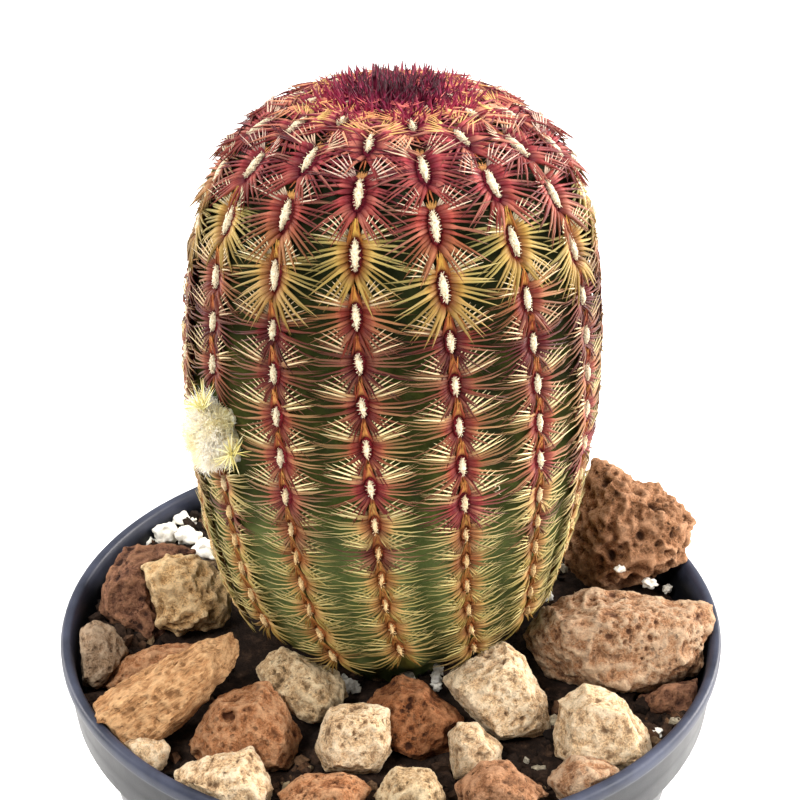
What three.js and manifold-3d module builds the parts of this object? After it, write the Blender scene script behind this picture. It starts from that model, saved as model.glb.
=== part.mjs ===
// A potted rainbow hedgehog cactus: one ribbed barrel stem with its comb-like spines and a woolly bud,
// rooted in a round nursery pot of dark soil that is dressed with broken lava stones and perlite.
// Millimetres, +Z up, origin at the middle of the pot's foot, front towards -Y.
import * as THREE from 'three';
import { ConvexGeometry } from 'three/addons/geometries/ConvexGeometry.js';
import { ConvexHull } from 'three/addons/math/ConvexHull.js';
import { mergeVertices } from 'three/addons/utils/BufferGeometryUtils.js';
import Module from 'manifold-3d';

// Driving dimensions
const POT_HEIGHT = 105;
const RIM_RADIUS = 70;
const FOOT_RADIUS = 48;
const FOOT_RECESS = 3;
const FLOOR_TOP = 5;
const WALL_STEP = 90;
const WALL_STEP_RADIUS = 64.6;
const DRAIN_HOLES = 6;
const DRAIN_RADIUS = 4;
const SOIL_LEVEL = 96.5;
const SOIL_RADIUS = 65.6;
const GAP = 0.3;

// The stem, with heights counted from the pot's rim
const STEM_AXIS = new THREE.Vector2(-0.6, 3.9);
const STEM_LEAN = 0.0164;
const RIBS = 15;
const RIB_STEP = 2 * Math.PI / RIBS;
const VALLEY_SHARE = 0.115;
const STEM_PROFILE = [
  [0, 110], [6.9, 110.9], [13.5, 110.6], [20.4, 108.4], [28.8, 102.4], [35, 91.4], [38.4, 76.1], [39.7, 55.3],
  [38.4, 34.6], [35.7, 17.3], [31, 4.6], [19.9, -4.6], [12.5, -9.5], [9.4, -14], [8.6, -29],
];
const ROOT_END = -31;

// Areoles: the wool pads along each rib, each with a comb of spines round it
const FIRST_AREOLE = [9.8, 5];
const AREOLE_LIMIT = 128;
const PAD_HALF_WIDTH = 0.85;
const PAD_RISE = 1.1;
const SPINE_LENGTH = 8.4;
const CROWN_RIM = 3.4;
const CROWN_END = 12;
const LOW_BAND = 92;

// Woolly bud on the left side of the stem
const BUD = { rib: -2, height: 54.5, halfWidth: 6.2, halfHeight: 8.2, proud: 6.4, spines: 14 };

// The stones were placed as seen from the front and above: across, up in the view, and away
const VIEW_PITCH = THREE.MathUtils.degToRad(27.8);
const ACROSS = new THREE.Vector3(1, 0, 0);
const VIEW_UP = new THREE.Vector3(0, Math.sin(VIEW_PITCH), Math.cos(VIEW_PITCH));
const AWAY = new THREE.Vector3(0, Math.cos(VIEW_PITCH), -Math.sin(VIEW_PITCH));

const TONES = { red: 0x86553e, tan: 0xb0906c, grey: 0x8f8470, dark: 0x5e4438, rose: 0xa07c6a };

// Each stone: its middle, its depth away from the viewer, and its outline as seen
const OUTLINED_STONES = [
  { tone: 'red', at: [55, 23, 110], deep: 20, outline: [[-16, -8], [-14, 6], [-9, 16], [6, 10], [14, 2],
    [11, -6], [2, -13], [-10, -13]] },
  { tone: 'rose', at: [47, -9, 103], deep: 24, outline: [[-20, 1], [-15, 7], [-5, 11], [6, 8], [21, 8],
    [21, -6], [9, -11], [-3, -11], [-14, -8]] },
  { tone: 'tan', at: [21, -27, 104], deep: 17, outline: [[-11, 2], [-7, 7], [2, 10], [6, 7], [11, -1],
    [11, -9], [1, -11], [-6, -4]] },
  { tone: 'tan', at: [42, -37, 102], deep: 17, outline: [[-10, 6], [-4, 9], [4, 6], [9, -1], [10, -7],
    [-1, -9], [-10, -5]] },
  { tone: 'tan', at: [16, -41, 100], deep: 11, outline: [[-5, 3], [-3, 6], [1, 6], [6, 1], [5, -5],
    [-4, -6]] },
  { tone: 'dark', at: [5, -32, 101], deep: 15, outline: [[-10, 3], [-4, 9], [2, 8], [10, 0], [8, -6],
    [1, -9], [-8, -6]] },
  { tone: 'tan', at: [-7, -41, 103], deep: 12, outline: [[-8, -2], [-5, 6], [2, 7], [7, 6], [8, -2],
    [5, -7], [-6, -7]] },
  { tone: 'red', at: [-29, -36, 102], deep: 15, outline: [[-12, -4], [-5, 6], [-2, 6], [5, 9], [8, 5],
    [12, -2], [10, -9], [-7, -9]] },
  { tone: 'grey', at: [-18, -24, 103], deep: 15, outline: [[-10, 3], [-4, 8], [1, 8], [8, 2], [10, -3],
    [4, -8], [-2, -6], [-7, 1]] },
  { tone: 'tan', at: [-45, -32, 105], deep: 13, outline: [[-16, -4], [-13, 1], [-4, 6], [8, 12], [14, 14],
    [16, 11], [15, 7], [6, -3], [-2, -10], [-12, -12]] },
  { tone: 'red', at: [-51, -14, 99], deep: 12, outline: [[-11, -4], [-7, 2], [1, 5], [11, 6], [9, 0],
    [-3, -6]] },
  { tone: 'tan', at: [-44, 4, 106], deep: 14, outline: [[-10, 6], [-4, 9], [2, 9], [9, 2], [10, -2],
    [8, -7], [-1, -9], [-6, -8], [-8, -2]] },
  { tone: 'dark', at: [-54, 9, 102], deep: 15, outline: [[-11, -4], [-10, 2], [-5, 11], [3, 12], [11, 10],
    [10, -1], [3, -11], [-8, -7]] },
  { tone: 'rose', at: [-60, -13, 102], deep: 11, outline: [[-5, 6], [-2, 8], [2, 6], [5, 0], [4, -3],
    [-1, -8], [-5, -6]] },
  { tone: 'dark', at: [58, -20, 97], deep: 10, outline: [[-8, -1], [-4, 3], [6, 4], [6, -1], [3, -4],
    [-5, -4]] },
];

// Stones in front of and behind the stem's own row, given by middle and mean radius
const ROUND_STONES = [
  { tone: 'tan', at: [-30, -53, 101], radius: 8.5 },
  { tone: 'red', at: [-12, -56, 101], radius: 7.5 },
  { tone: 'grey', at: [4, -57, 101], radius: 7 },
  { tone: 'red', at: [20, -55, 101], radius: 7.5 },
  { tone: 'rose', at: [37, -51, 100], radius: 6.5 },
  { tone: 'tan', at: [-48, -42, 100], radius: 5 },
  { tone: 'tan', at: [30, 52, 101], radius: 8 },
  { tone: 'red', at: [10, 56, 101], radius: 8 },
  { tone: 'dark', at: [-13, 55, 101], radius: 7 },
  { tone: 'tan', at: [46, 44, 100], radius: 7 },
  { tone: 'rose', at: [-27, 50, 100], radius: 6 },
];

// White and cream perlite grains on the soil
const PERLITE = [
  { at: [-53, 36, 101], radius: 3.4 }, { at: [-48, 35, 101], radius: 3.2 },
  { at: [-42, 29, 101], radius: 3.8 }, { at: [-50, 42, 101], radius: 2.2 },
  { at: [61, 6, 98], radius: 2.1 }, { at: [55, 33, 99], radius: 2.3 },
  { at: [-41, 47, 101], radius: 2.6 }, { at: [22, 43, 98], radius: 2.2 },
];

const wasm = await Module();
wasm.setup();

// Repeatable random numbers from 0 to 1
function seededDraw(seed) {
  let state = seed * 7919 + 17;
  return () => {
    state = (state + 0x6d2b79f5) | 0;
    let mixed = Math.imul(state ^ (state >>> 15), 1 | state);
    mixed = (mixed + Math.imul(mixed ^ (mixed >>> 7), 61 | mixed)) ^ mixed;
    return ((mixed ^ (mixed >>> 14)) >>> 0) / 4294967296;
  };
}

// A closed triangle mesh as a solid that can be joined and cut
function toSolid(geometry) {
  const bare = geometry.clone();
  bare.deleteAttribute('normal');
  bare.deleteAttribute('uv');
  const merged = mergeVertices(bare, 1e-4);
  const corners = [];
  const index = merged.index.array;
  for (let i = 0; i < index.length; i += 3) {
    const [a, b, c] = index.slice(i, i + 3);
    if (a !== b && b !== c && c !== a) {
      corners.push(a, b, c);
    }
  }
  return new wasm.Manifold(new wasm.Mesh({
    numProp: 3,
    vertProperties: new Float32Array(merged.attributes.position.array),
    triVerts: new Uint32Array(corners),
  }));
}

function toGeometry(solid) {
  const mesh = solid.getMesh();
  const geometry = new THREE.BufferGeometry();
  geometry.setAttribute('position', new THREE.BufferAttribute(mesh.vertProperties, 3));
  geometry.setIndex(new THREE.BufferAttribute(mesh.triVerts, 1));
  geometry.computeVertexNormals();
  return geometry;
}

// A body turned about Z from its half section, given as [radius, height]; a ring's section closes on itself
function turned(section, sides) {
  const closed = section[0][0] === 0 ? section : [...section, section[0]];
  const profile = closed.map(([radius, height]) => new THREE.Vector2(radius, height));
  return new THREE.LatheGeometry(profile, sides).rotateX(Math.PI / 2);
}

// The pot: a tapered wall with a stepped collar and rolled rim, on a foot ring with drain holes inside it
function potGeometry() {
  const shell = toSolid(turned([
    [0, FOOT_RECESS], [39, FOOT_RECESS], [40, 0], [FOOT_RADIUS, 0], [FOOT_RADIUS + 1, 1],
    [WALL_STEP_RADIUS, WALL_STEP], [68.2, WALL_STEP + 1], [69.1, POT_HEIGHT - 3.4],
    [RIM_RADIUS, POT_HEIGHT - 2.4], [RIM_RADIUS, POT_HEIGHT - 0.8], [RIM_RADIUS - 0.7, POT_HEIGHT],
    [68.2, POT_HEIGHT], [67.6, POT_HEIGHT - 0.8], [66.2, WALL_STEP + 2.5], [63, WALL_STEP - 1],
    [FOOT_RADIUS - 0.8, FLOOR_TOP + 1], [FOOT_RADIUS - 2, FLOOR_TOP], [0, FLOOR_TOP],
  ], 48));
  let pot = shell;
  for (let i = 0; i < DRAIN_HOLES; i += 1) {
    const angle = (i + 0.5) * 2 * Math.PI / DRAIN_HOLES;
    const drill = new THREE.CylinderGeometry(DRAIN_RADIUS, DRAIN_RADIUS, 20, 12).rotateX(Math.PI / 2);
    drill.translate(28 * Math.cos(angle), 28 * Math.sin(angle), 2);
    pot = pot.subtract(toSolid(drill));
  }
  return toGeometry(pot);
}

// Everything outside the pot's inner wall, from below the step up to the rim
function wallClearance() {
  return toSolid(turned([
    [63 - GAP, WALL_STEP - 1], [66.2 - GAP, WALL_STEP + 2.5], [67.6 - GAP, POT_HEIGHT - 0.8],
    [68.2 - GAP, POT_HEIGHT + GAP], [90, POT_HEIGHT + GAP], [90, 60], [57, 60],
  ].reverse(), 48));
}

// The rib crests' half section, as a curve measured by its length from the stem's tip
const crestCurve = new THREE.CatmullRomCurve3(
  STEM_PROFILE.map(([radius, height]) => new THREE.Vector3(radius, height, 0)), false, 'centripetal');
crestCurve.arcLengthDivisions = 1200;
const CREST_LENGTH = crestCurve.getLength();

function crest(s) {
  const point = crestCurve.getPointAt(THREE.MathUtils.clamp(s / CREST_LENGTH, 0, 1));
  return { radius: Math.max(point.x, 0), height: point.y };
}

// Length along the crest at which it passes a given height
function crestLengthAt(height) {
  let low = 0;
  let high = CREST_LENGTH;
  for (let i = 0; i < 40; i += 1) {
    const middle = (low + high) / 2;
    if (crest(middle).height > height) {
      low = middle;
    } else {
      high = middle;
    }
  }
  return low;
}

// Ribs run down in a slight spiral that turns back near the soil
function ribAngle(rib, height) {
  const low = Math.max(0, 30 - Math.max(height, -6)) / 30;
  const twist = -6.3 - 8.6 * (Math.max(height, -6) - 60) / 60 + 9.2 * low * low;
  return rib * RIB_STEP + THREE.MathUtils.degToRad(twist);
}

// A point of the stem's skin: across is -1 and 1 in the valleys beside the rib and 0 on its crest
function skin(rib, across, s, raise = 0) {
  const { radius, height } = crest(s);
  const fade = THREE.MathUtils.smoothstep(s, 2, 16) * THREE.MathUtils.smoothstep(height, -7, 6);
  const dip = VALLEY_SHARE * radius * fade * Math.sin(Math.abs(across) * Math.PI / 2) ** 2;
  const angle = ribAngle(rib, height) + across * RIB_STEP / 2;
  const reach = radius - dip + raise;
  return new THREE.Vector3(
    STEM_AXIS.x + STEM_LEAN * height + reach * Math.sin(angle),
    STEM_AXIS.y - reach * Math.cos(angle),
    POT_HEIGHT + height);
}

// Directions on the skin at a crest point: to the right, up the rib and outwards
function crestFrame(rib, s) {
  const up = skin(rib, 0, s - 1).sub(skin(rib, 0, s + 1)).normalize();
  const right = skin(rib, 0.1, s).sub(skin(rib, -0.1, s));
  right.addScaledVector(up, -right.dot(up)).normalize();
  return { right, up, out: new THREE.Vector3().crossVectors(right, up) };
}

// Areoles stand further apart in the wide upper bands than in the crowded ones near the soil
function areoleStep(s) {
  const narrower = THREE.MathUtils.smoothstep(s, 42, 54);
  const narrowest = THREE.MathUtils.smoothstep(s, 84, 94);
  return 10.4 - 2.3 * narrower - 1.8 * narrowest;
}

function areolesOf(rib) {
  const places = [];
  let s = FIRST_AREOLE[Math.abs(rib) % 2];
  while (s < AREOLE_LIMIT) {
    places.push(s);
    s += areoleStep(s);
  }
  return places;
}

// Half the width of the strip that the areoles stand on, as a share of the way to the valley
function stripShare(s) {
  const halfStep = crest(s).radius * RIB_STEP / 2;
  return Math.min(0.42, 2.3 / Math.max(halfStep, 0.1));
}

// How far a spine can grow before it meets a stone, the soil or the bud
function clearLength(root, direction, length, obstacles) {
  for (let reach = 1; reach <= length; reach += 0.5) {
    const tip = root.clone().addScaledVector(direction, reach + 0.4);
    const buried = tip.z < SOIL_LEVEL + 2.5;
    if (buried || obstacles.some((hull) => hull.containsPoint(tip))) {
      return reach - 1;
    }
  }
  return length;
}

// Spines of the crown stand up in one brush, all pointing away from a place deep under the tip
function crownSpine(root) {
  const focus = new THREE.Vector3(STEM_AXIS.x + STEM_LEAN * 110, STEM_AXIS.y, POT_HEIGHT + 86);
  return { direction: root.clone().sub(focus).normalize(), length: SPINE_LENGTH - 1.5 };
}

// Spines round an areole lie nearly flat: long at the sides, shorter below, shortest and steepest above.
// Neighbouring ribs hold their side spines at different slopes, so that they pass over each other.
function combSpine(frame, rib, s, lap) {
  const angle = lap * 2 * Math.PI;
  const upwards = Math.sin(angle);
  const steep = upwards > 0 ? 9 + 29 * upwards ** 1.5 : 9 + 5 * upwards ** 2;
  const layer = Math.abs(rib) % 2;
  const tilt = THREE.MathUtils.degToRad(steep + 7 * layer * Math.cos(angle) ** 2);
  const direction = frame.right.clone().multiplyScalar(Math.cos(angle) * Math.cos(tilt));
  direction.addScaledVector(frame.up, upwards * Math.cos(tilt));
  direction.addScaledVector(frame.out, Math.sin(tilt)).normalize();
  const halfStep = crest(s).radius * RIB_STEP / 2;
  const spread = THREE.MathUtils.smoothstep(s, 16, 26);
  const room = Math.min(SPINE_LENGTH, (0.9 + 0.22 * spread) * halfStep + spread);
  const shorterBelow = s > LOW_BAND - 8 ? 0.32 : 0.12;
  return { direction, length: room * (1 - (upwards > 0 ? 0.45 * upwards : shorterBelow * upwards ** 2)) };
}

// The stem's skin, with a pad and a comb of needles raised on every areole when spines are asked for
function stemGeometry({ grow = 0, obstacles = null }) {
  const points = [];
  const faces = [];
  const addPoint = (point) => points.push(point) - 1;
  const lastRow = crestLengthAt(0.5);
  const neckRows = [-4.6, -9.5, -14, -29].map(crestLengthAt);

  // Four sides of a cell and the ring inside it, joined by triangles going round
  const joinRing = (corners, ring, ringAngles) => {
    let corner = 0;
    let step = ringAngles.findIndex((angle) => angle > Math.PI / 4) - 1;
    let turnedBy = 0;
    for (let n = 0; n < corners.length + ring.length; n += 1) {
      const lap = Math.floor((step + 1) / ring.length) * 2 * Math.PI;
      const nextAngle = ringAngles[(step + 1) % ring.length] + lap;
      const here = ring[(step + ring.length) % ring.length];
      if (turnedBy < 4 && (corner + 1) * Math.PI / 2 < nextAngle - 1e-6) {
        faces.push([here, corners[corner % 4], corners[(corner + 1) % 4]]);
        corner += 1;
        turnedBy += 1;
      } else {
        faces.push([corners[corner % 4], ring[(step + 1) % ring.length], here]);
        step += 1;
      }
    }
  };

  // A three-sided needle on the triangle a, b, c
  const addNeedle = ([a, b, c], root, direction, length) => {
    const clear = clearLength(root, direction, length, obstacles);
    if (clear < 1.5) {
      faces.push([a, b, c]);
      return;
    }
    const tip = addPoint(root.clone().addScaledVector(direction, clear));
    faces.push([a, b, tip], [b, c, tip], [c, a, tip]);
  };

  const addAreole = (rib, s, corners) => {
    const frame = crestFrame(rib, s);
    const crown = s < CROWN_END;
    const low = s > LOW_BAND;
    const sides = crown ? 6 : (low ? 8 : 10);
    const turn = sides === 10 ? 0.5 : 0;
    const halfStep = crest(s).radius * RIB_STEP / 2;
    const halfWidth = Math.min(PAD_HALF_WIDTH, 0.7 * stripShare(s) * halfStep);
    const tall = THREE.MathUtils.lerp(1.9, 1.5, THREE.MathUtils.smoothstep(s, 45, 55));
    const halfHeight = crown || low ? 1.1 : tall;
    const middle = skin(rib, 0, s, PAD_RISE);
    const around = [-2.6, 0, 2.6].map((along) => skin(rib, 0, s + along, PAD_RISE));
    if (obstacles.some((hull) => around.some((point) => hull.containsPoint(point)))) {
      faces.push([corners[0], corners[1], corners[2]], [corners[2], corners[3], corners[0]]);
      return;
    }
    const angles = [];
    const ring = [];
    for (let i = 0; i < sides; i += 1) {
      const angle = (i + turn) * 2 * Math.PI / sides;
      const across = halfWidth * Math.cos(angle) / halfStep;
      angles.push(angle);
      ring.push(addPoint(skin(rib, across, s - halfHeight * Math.sin(angle), 0.3)));
    }
    joinRing(corners, ring, angles);
    const centre = addPoint(middle);
    for (let i = 0; i < sides; i += 1) {
      const triangle = [centre, ring[i], ring[(i + 1) % sides]];
      const root = new THREE.Vector3();
      triangle.forEach((corner) => root.addScaledVector(points[corner], 1 / 3));
      const lap = (i + turn + 0.5) / sides;
      const { direction, length } = crown ? crownSpine(root) : combSpine(frame, rib, s, lap);
      addNeedle(triangle, root, direction, length);
    }
  };

  // Three chains of points down each rib: the valley on its left, and the strip's left and right edges
  const chains = [];
  for (let n = 0; n < RIBS; n += 1) {
    const rib = n - (RIBS - 1) / 2;
    const rows = areolesOf(rib);
    const edges = rows.slice(1).map((s, i) => (s + rows[i]) / 2);
    const edgeRows = [CROWN_RIM, ...edges, lastRow, ...neckRows];
    const valleyRows = [CROWN_RIM, ...rows.slice(1), lastRow, ...neckRows];
    const chain = (across, list) => list.map((s) => ({
      s, point: addPoint(skin(rib, across === -1 ? -1 : across * stripShare(s), s, grow)),
    }));
    chains.push(
      { cells: false, rows: chain(-1, valleyRows) },
      { cells: { rib, rows }, rows: chain(-0.999, edgeRows) },
      { cells: false, rows: chain(0.999, edgeRows) });
  }

  const tipPoint = addPoint(skin(0, 0, 0, grow / 2));
  const rootPoint = addPoint(new THREE.Vector3(
    STEM_AXIS.x + STEM_LEAN * ROOT_END, STEM_AXIS.y, POT_HEIGHT + ROOT_END - grow));
  chains.forEach((left, n) => {
    const right = chains[(n + 1) % chains.length];
    let i = 0;
    let j = 0;
    if (left.cells) {
      left.cells.rows.forEach((s, row) => {
        const corners = [right.rows[row], left.rows[row], left.rows[row + 1], right.rows[row + 1]]
          .map((place) => place.point);
        if (obstacles) {
          addAreole(left.cells.rib, s, corners);
        } else {
          faces.push([corners[0], corners[1], corners[2]], [corners[2], corners[3], corners[0]]);
        }
      });
      i = left.cells.rows.length;
      j = i;
    }
    while (i < left.rows.length - 1 || j < right.rows.length - 1) {
      const nextLeft = i < left.rows.length - 1 ? left.rows[i + 1].s : Infinity;
      const nextRight = j < right.rows.length - 1 ? right.rows[j + 1].s : Infinity;
      if (nextLeft <= nextRight) {
        faces.push([left.rows[i].point, left.rows[i + 1].point, right.rows[j].point]);
        i += 1;
      } else {
        faces.push([left.rows[i].point, right.rows[j + 1].point, right.rows[j].point]);
        j += 1;
      }
    }
    faces.push([left.rows.at(-1).point, rootPoint, right.rows.at(-1).point]);
    faces.push([tipPoint, left.rows[0].point, right.rows[0].point]);
  });

  const geometry = new THREE.BufferGeometry().setFromPoints(points);
  geometry.setIndex(faces.flat());
  geometry.computeVertexNormals();
  return geometry;
}

// A three-sided needle with its root a little inside the body that it stands on
function needle(root, direction, length, thickness) {
  const cone = new THREE.ConeGeometry(thickness, length, 3, 1);
  cone.translate(0, length / 2, 0);
  const turn = new THREE.Quaternion().setFromUnitVectors(new THREE.Vector3(0, 1, 0), direction);
  cone.applyQuaternion(turn);
  return cone.translate(root.x, root.y, root.z);
}

// The bud's wool as a lumpy dome in its own frame on the rib, ready for its seat to be cut
function budFrame() {
  const s = crestLengthAt(BUD.height);
  return { centre: skin(BUD.rib, 0, s, 1.2), ...crestFrame(BUD.rib, s) };
}

function budPoint(frame, right, up, out) {
  return frame.centre.clone().addScaledVector(frame.right, right).addScaledVector(frame.up, up)
    .addScaledVector(frame.out, out);
}

function budDome() {
  const frame = budFrame();
  const dome = new THREE.SphereGeometry(1, 14, 10);
  const place = dome.attributes.position;
  for (let i = 0; i < place.count; i += 1) {
    const [x, y, z] = [place.getX(i), place.getY(i), place.getZ(i)];
    const lump = 1 + 0.1 * Math.sin(7 * x + 2) * Math.cos(6 * y) + 0.07 * Math.sin(9 * z + 3 * y);
    const point = budPoint(frame, x * lump * BUD.halfWidth, y * lump * BUD.halfHeight, z * lump * BUD.proud);
    place.setXYZ(i, point.x, point.y, point.z);
  }
  return dome;
}

// Two tufts of spines stand out of the wool: one at its top, one low on its right
function budGeometry() {
  const frame = budFrame();
  const draw = seededDraw(5);
  let bud = toSolid(budDome());
  for (let i = 0; i < BUD.spines; i += 1) {
    const high = i % 7 < 4;
    const fan = (draw() - 0.5) * 1.6 + (high ? 0.2 : -0.9);
    const foot = budPoint(frame, high ? -1 : 3, high ? 4.5 : -4, 2);
    const side = high ? Math.sin(fan) : Math.cos(fan);
    const rise = high ? Math.cos(fan) : Math.sin(fan);
    const direction = frame.right.clone().multiplyScalar(side).addScaledVector(frame.up, rise)
      .addScaledVector(frame.out, 0.45 + 0.4 * draw()).normalize();
    bud = bud.add(toSolid(needle(foot, direction, high ? 8.5 : 7.5, 0.5)));
  }
  bud = bud.subtract(toSolid(stemGeometry({ grow: GAP + 0.1 })));
  return toGeometry(largestPiece(bud));
}

function largestPiece(solid) {
  const pieces = solid.decompose();
  return pieces.reduce((best, piece) => (piece.volume() > best.volume() ? piece : best));
}

function cornersOf(geometry) {
  const place = geometry.attributes.position;
  return Array.from({ length: place.count }, (_, i) => new THREE.Vector3().fromBufferAttribute(place, i));
}

// Corner points of a broken stone: its outline at full size in the middle, drawn in before and behind
function stonePoints({ at, deep, outline }, seed) {
  const draw = seededDraw(seed);
  const middle = new THREE.Vector3(...at);
  const points = [];
  for (const [share, away] of [[0.66, -0.5], [1, 0], [0.72, 0.5]]) {
    for (const [x, y] of outline) {
      const size = share === 1 ? 1 : share * (0.85 + 0.3 * draw());
      const depth = deep * (away + 0.16 * (draw() - 0.5));
      points.push(middle.clone().addScaledVector(ACROSS, x * size).addScaledVector(VIEW_UP, y * size)
        .addScaledVector(AWAY, depth));
    }
  }
  return points;
}

function roundStonePoints({ at, radius }, seed, corners = 7) {
  const draw = seededDraw(seed);
  const outline = [];
  for (let i = 0; i < corners; i += 1) {
    const angle = (i + 0.6 * draw()) * 2 * Math.PI / corners;
    const reach = radius * (0.82 + 0.36 * draw());
    outline.push([1.15 * reach * Math.cos(angle), 0.9 * reach * Math.sin(angle)]);
  }
  return stonePoints({ at, deep: 1.7 * radius, outline }, seed + 100);
}

// The same corners moved out from their middle, so that the body's faces move out by at least the gap
function grownPoints(points, gap) {
  const middle = new THREE.Vector3();
  points.forEach((point) => middle.addScaledVector(point, 1 / points.length));
  const hull = new ConvexHull().setFromPoints(points);
  const nearest = Math.min(...hull.faces.map((face) => Math.abs(face.distanceToPoint(middle))));
  return points.map((point) => point.clone().sub(middle).multiplyScalar(1 + gap / nearest).add(middle));
}

// Stones and grains lie against the wall, the stem and the ones before them without touching
const looseNodes = [
  ...OUTLINED_STONES.map((stone, i) => ({ ...stone, points: stonePoints(stone, i + 1) })),
  ...ROUND_STONES.map((stone, i) => ({ ...stone, points: roundStonePoints(stone, i + 31) })),
].map((stone, i) => ({ ...stone, name: `stone_${String(i + 1).padStart(2, '0')}` }));
PERLITE.forEach((grain, i) => {
  looseNodes.push({ name: `perlite_${String(i + 1).padStart(2, '0')}`, tone: 'white',
    points: roundStonePoints(grain, i + 61, 5) });
});
looseNodes.forEach((node) => {
  node.grown = toSolid(new ConvexGeometry(grownPoints(node.points, GAP)));
  node.hull = new ConvexHull().setFromPoints(grownPoints(node.points, 1));
});

function stemClearance() {
  const section = [-9.5, -4.6, 0, 4.6, 10, 17.3, 26, 34.6, 45].map((height) => {
    const { radius } = crest(crestLengthAt(height));
    return [radius + 1.7, POT_HEIGHT + height];
  });
  const body = turned([[0, section[0][1] - 10], [section[0][0], section[0][1] - 10], ...section,
    [0, section.at(-1)[1]]], 45);
  return toSolid(body.translate(STEM_AXIS.x, STEM_AXIS.y, 0));
}

function settleLooseNodes() {
  const clearance = wallClearance().add(stemClearance());
  looseNodes.forEach((node, i) => {
    let solid = toSolid(new ConvexGeometry(node.points)).subtract(clearance);
    looseNodes.slice(0, i).forEach((other) => {
      solid = solid.subtract(other.grown);
    });
    node.geometry = toGeometry(largestPiece(solid));
  });
}

// Dark soil, filling the pot round a plain hole for the root, with dents where the stones lie
function soilGeometry() {
  const soil = turned([
    [0, FLOOR_TOP + GAP], [FOOT_RADIUS - 2.2, FLOOR_TOP + GAP], [FOOT_RADIUS - 1.2, FLOOR_TOP + 1.6],
    [62.6, WALL_STEP - 1.2], [SOIL_RADIUS, WALL_STEP + 3], [SOIL_RADIUS, SOIL_LEVEL], [56, SOIL_LEVEL],
    [46, SOIL_LEVEL], [36, SOIL_LEVEL], [26, SOIL_LEVEL - 0.5], [17, SOIL_LEVEL - 1.2], [10.6, 90.4],
    [9.6, 74.5], [9.2, 73], [0, 73],
  ], 40);
  const place = soil.attributes.position;
  for (let i = 0; i < place.count; i += 1) {
    const [x, y, z] = [place.getX(i), place.getY(i), place.getZ(i)];
    const radius = Math.hypot(x, y);
    if (z > SOIL_LEVEL - 0.6 && radius > 18) {
      const mound = 0.9 * Math.sin(0.19 * x + 1) * Math.cos(0.23 * y) + 0.5 * Math.sin(0.41 * x - 0.37 * y);
      const backLeft = 3 * THREE.MathUtils.smoothstep((y - x) / 90, 0.35, 1);
      place.setZ(i, z + mound + backLeft);
    }
    if (z > 72 && radius < 18) {
      place.setXY(i, x + STEM_AXIS.x, y + STEM_AXIS.y);
    }
  }
  let solid = toSolid(soil);
  looseNodes.forEach((node) => {
    solid = solid.subtract(node.grown);
  });
  return toGeometry(largestPiece(solid));
}

const cactus = new THREE.Group();

function addMesh(name, geometry, color, roughness) {
  const mesh = new THREE.Mesh(geometry, new THREE.MeshStandardMaterial({ color, roughness, metalness: 0 }));
  mesh.name = name;
  cactus.add(mesh);
}

settleLooseNodes();
const bud = budGeometry();
const obstacles = looseNodes.map((node) => node.hull);
obstacles.push(new ConvexHull().setFromPoints(grownPoints(cornersOf(bud), 0.8)));
addMesh('pot', potGeometry(), 0x22252d, 0.45);
addMesh('soil', soilGeometry(), 0x2b211b, 0.95);
addMesh('stem', stemGeometry({ obstacles }), 0x4f6b35, 0.6);
addMesh('woolly_bud', bud, 0xe6dcc2, 0.95);
looseNodes.forEach(({ name, geometry, tone }) => {
  addMesh(name, geometry, TONES[tone] ?? 0xe9e6df, 0.95);
});

export default cactus;
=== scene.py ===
import math
import random
from random import gauss, uniform

import bmesh
import bpy
import numpy as np
from mathutils import Matrix, Vector, noise
from mathutils.bvhtree import BVHTree
from mathutils.geometry import interpolate_bezier


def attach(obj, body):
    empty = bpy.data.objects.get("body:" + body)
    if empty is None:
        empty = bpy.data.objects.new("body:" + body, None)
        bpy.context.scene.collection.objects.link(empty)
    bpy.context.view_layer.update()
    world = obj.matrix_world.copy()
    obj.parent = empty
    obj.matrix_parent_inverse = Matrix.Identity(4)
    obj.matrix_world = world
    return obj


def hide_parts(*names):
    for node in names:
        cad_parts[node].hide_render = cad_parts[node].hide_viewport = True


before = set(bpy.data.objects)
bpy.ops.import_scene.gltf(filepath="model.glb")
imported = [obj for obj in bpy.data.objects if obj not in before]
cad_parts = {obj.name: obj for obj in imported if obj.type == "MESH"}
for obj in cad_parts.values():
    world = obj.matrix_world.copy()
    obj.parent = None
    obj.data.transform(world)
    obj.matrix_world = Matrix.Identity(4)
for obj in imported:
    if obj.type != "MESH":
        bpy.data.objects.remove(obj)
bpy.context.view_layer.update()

# Nursery pot: thin black polypropylene, moulded in one piece. A tapered wall steps out into a collar
# under the rolled rim, and six drain holes are pierced in the recessed floor inside the foot ring.
MM = 0.001


def tint(red, green, blue):
    def linear(level):
        share = level / 255
        return share / 12.92 if share <= 0.04045 else ((share + 0.055) / 1.055) ** 2.4
    return (linear(red), linear(green), linear(blue), 1.0)


def start_finish(name, roughness, specular=0.5):
    finish = bpy.data.materials.new(name)
    finish.use_nodes = True
    shader = finish.node_tree.nodes["Principled BSDF"]
    shader.inputs["Roughness"].default_value = roughness
    shader.inputs["Specular IOR Level"].default_value = specular
    return finish, finish.node_tree, shader


def step(tree, kind, inputs=(), **settings):
    node = tree.nodes.new("ShaderNode" + kind)
    for name, value in settings.items():
        setattr(node, name, value)
    for name, value in dict(inputs).items():
        if isinstance(value, bpy.types.NodeSocket):
            tree.links.new(value, node.inputs[name])
        else:
            node.inputs[name].default_value = value
    return node


def tree_of(*values):
    return next(value.id_data for value in values if isinstance(value, bpy.types.NodeSocket))


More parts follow.
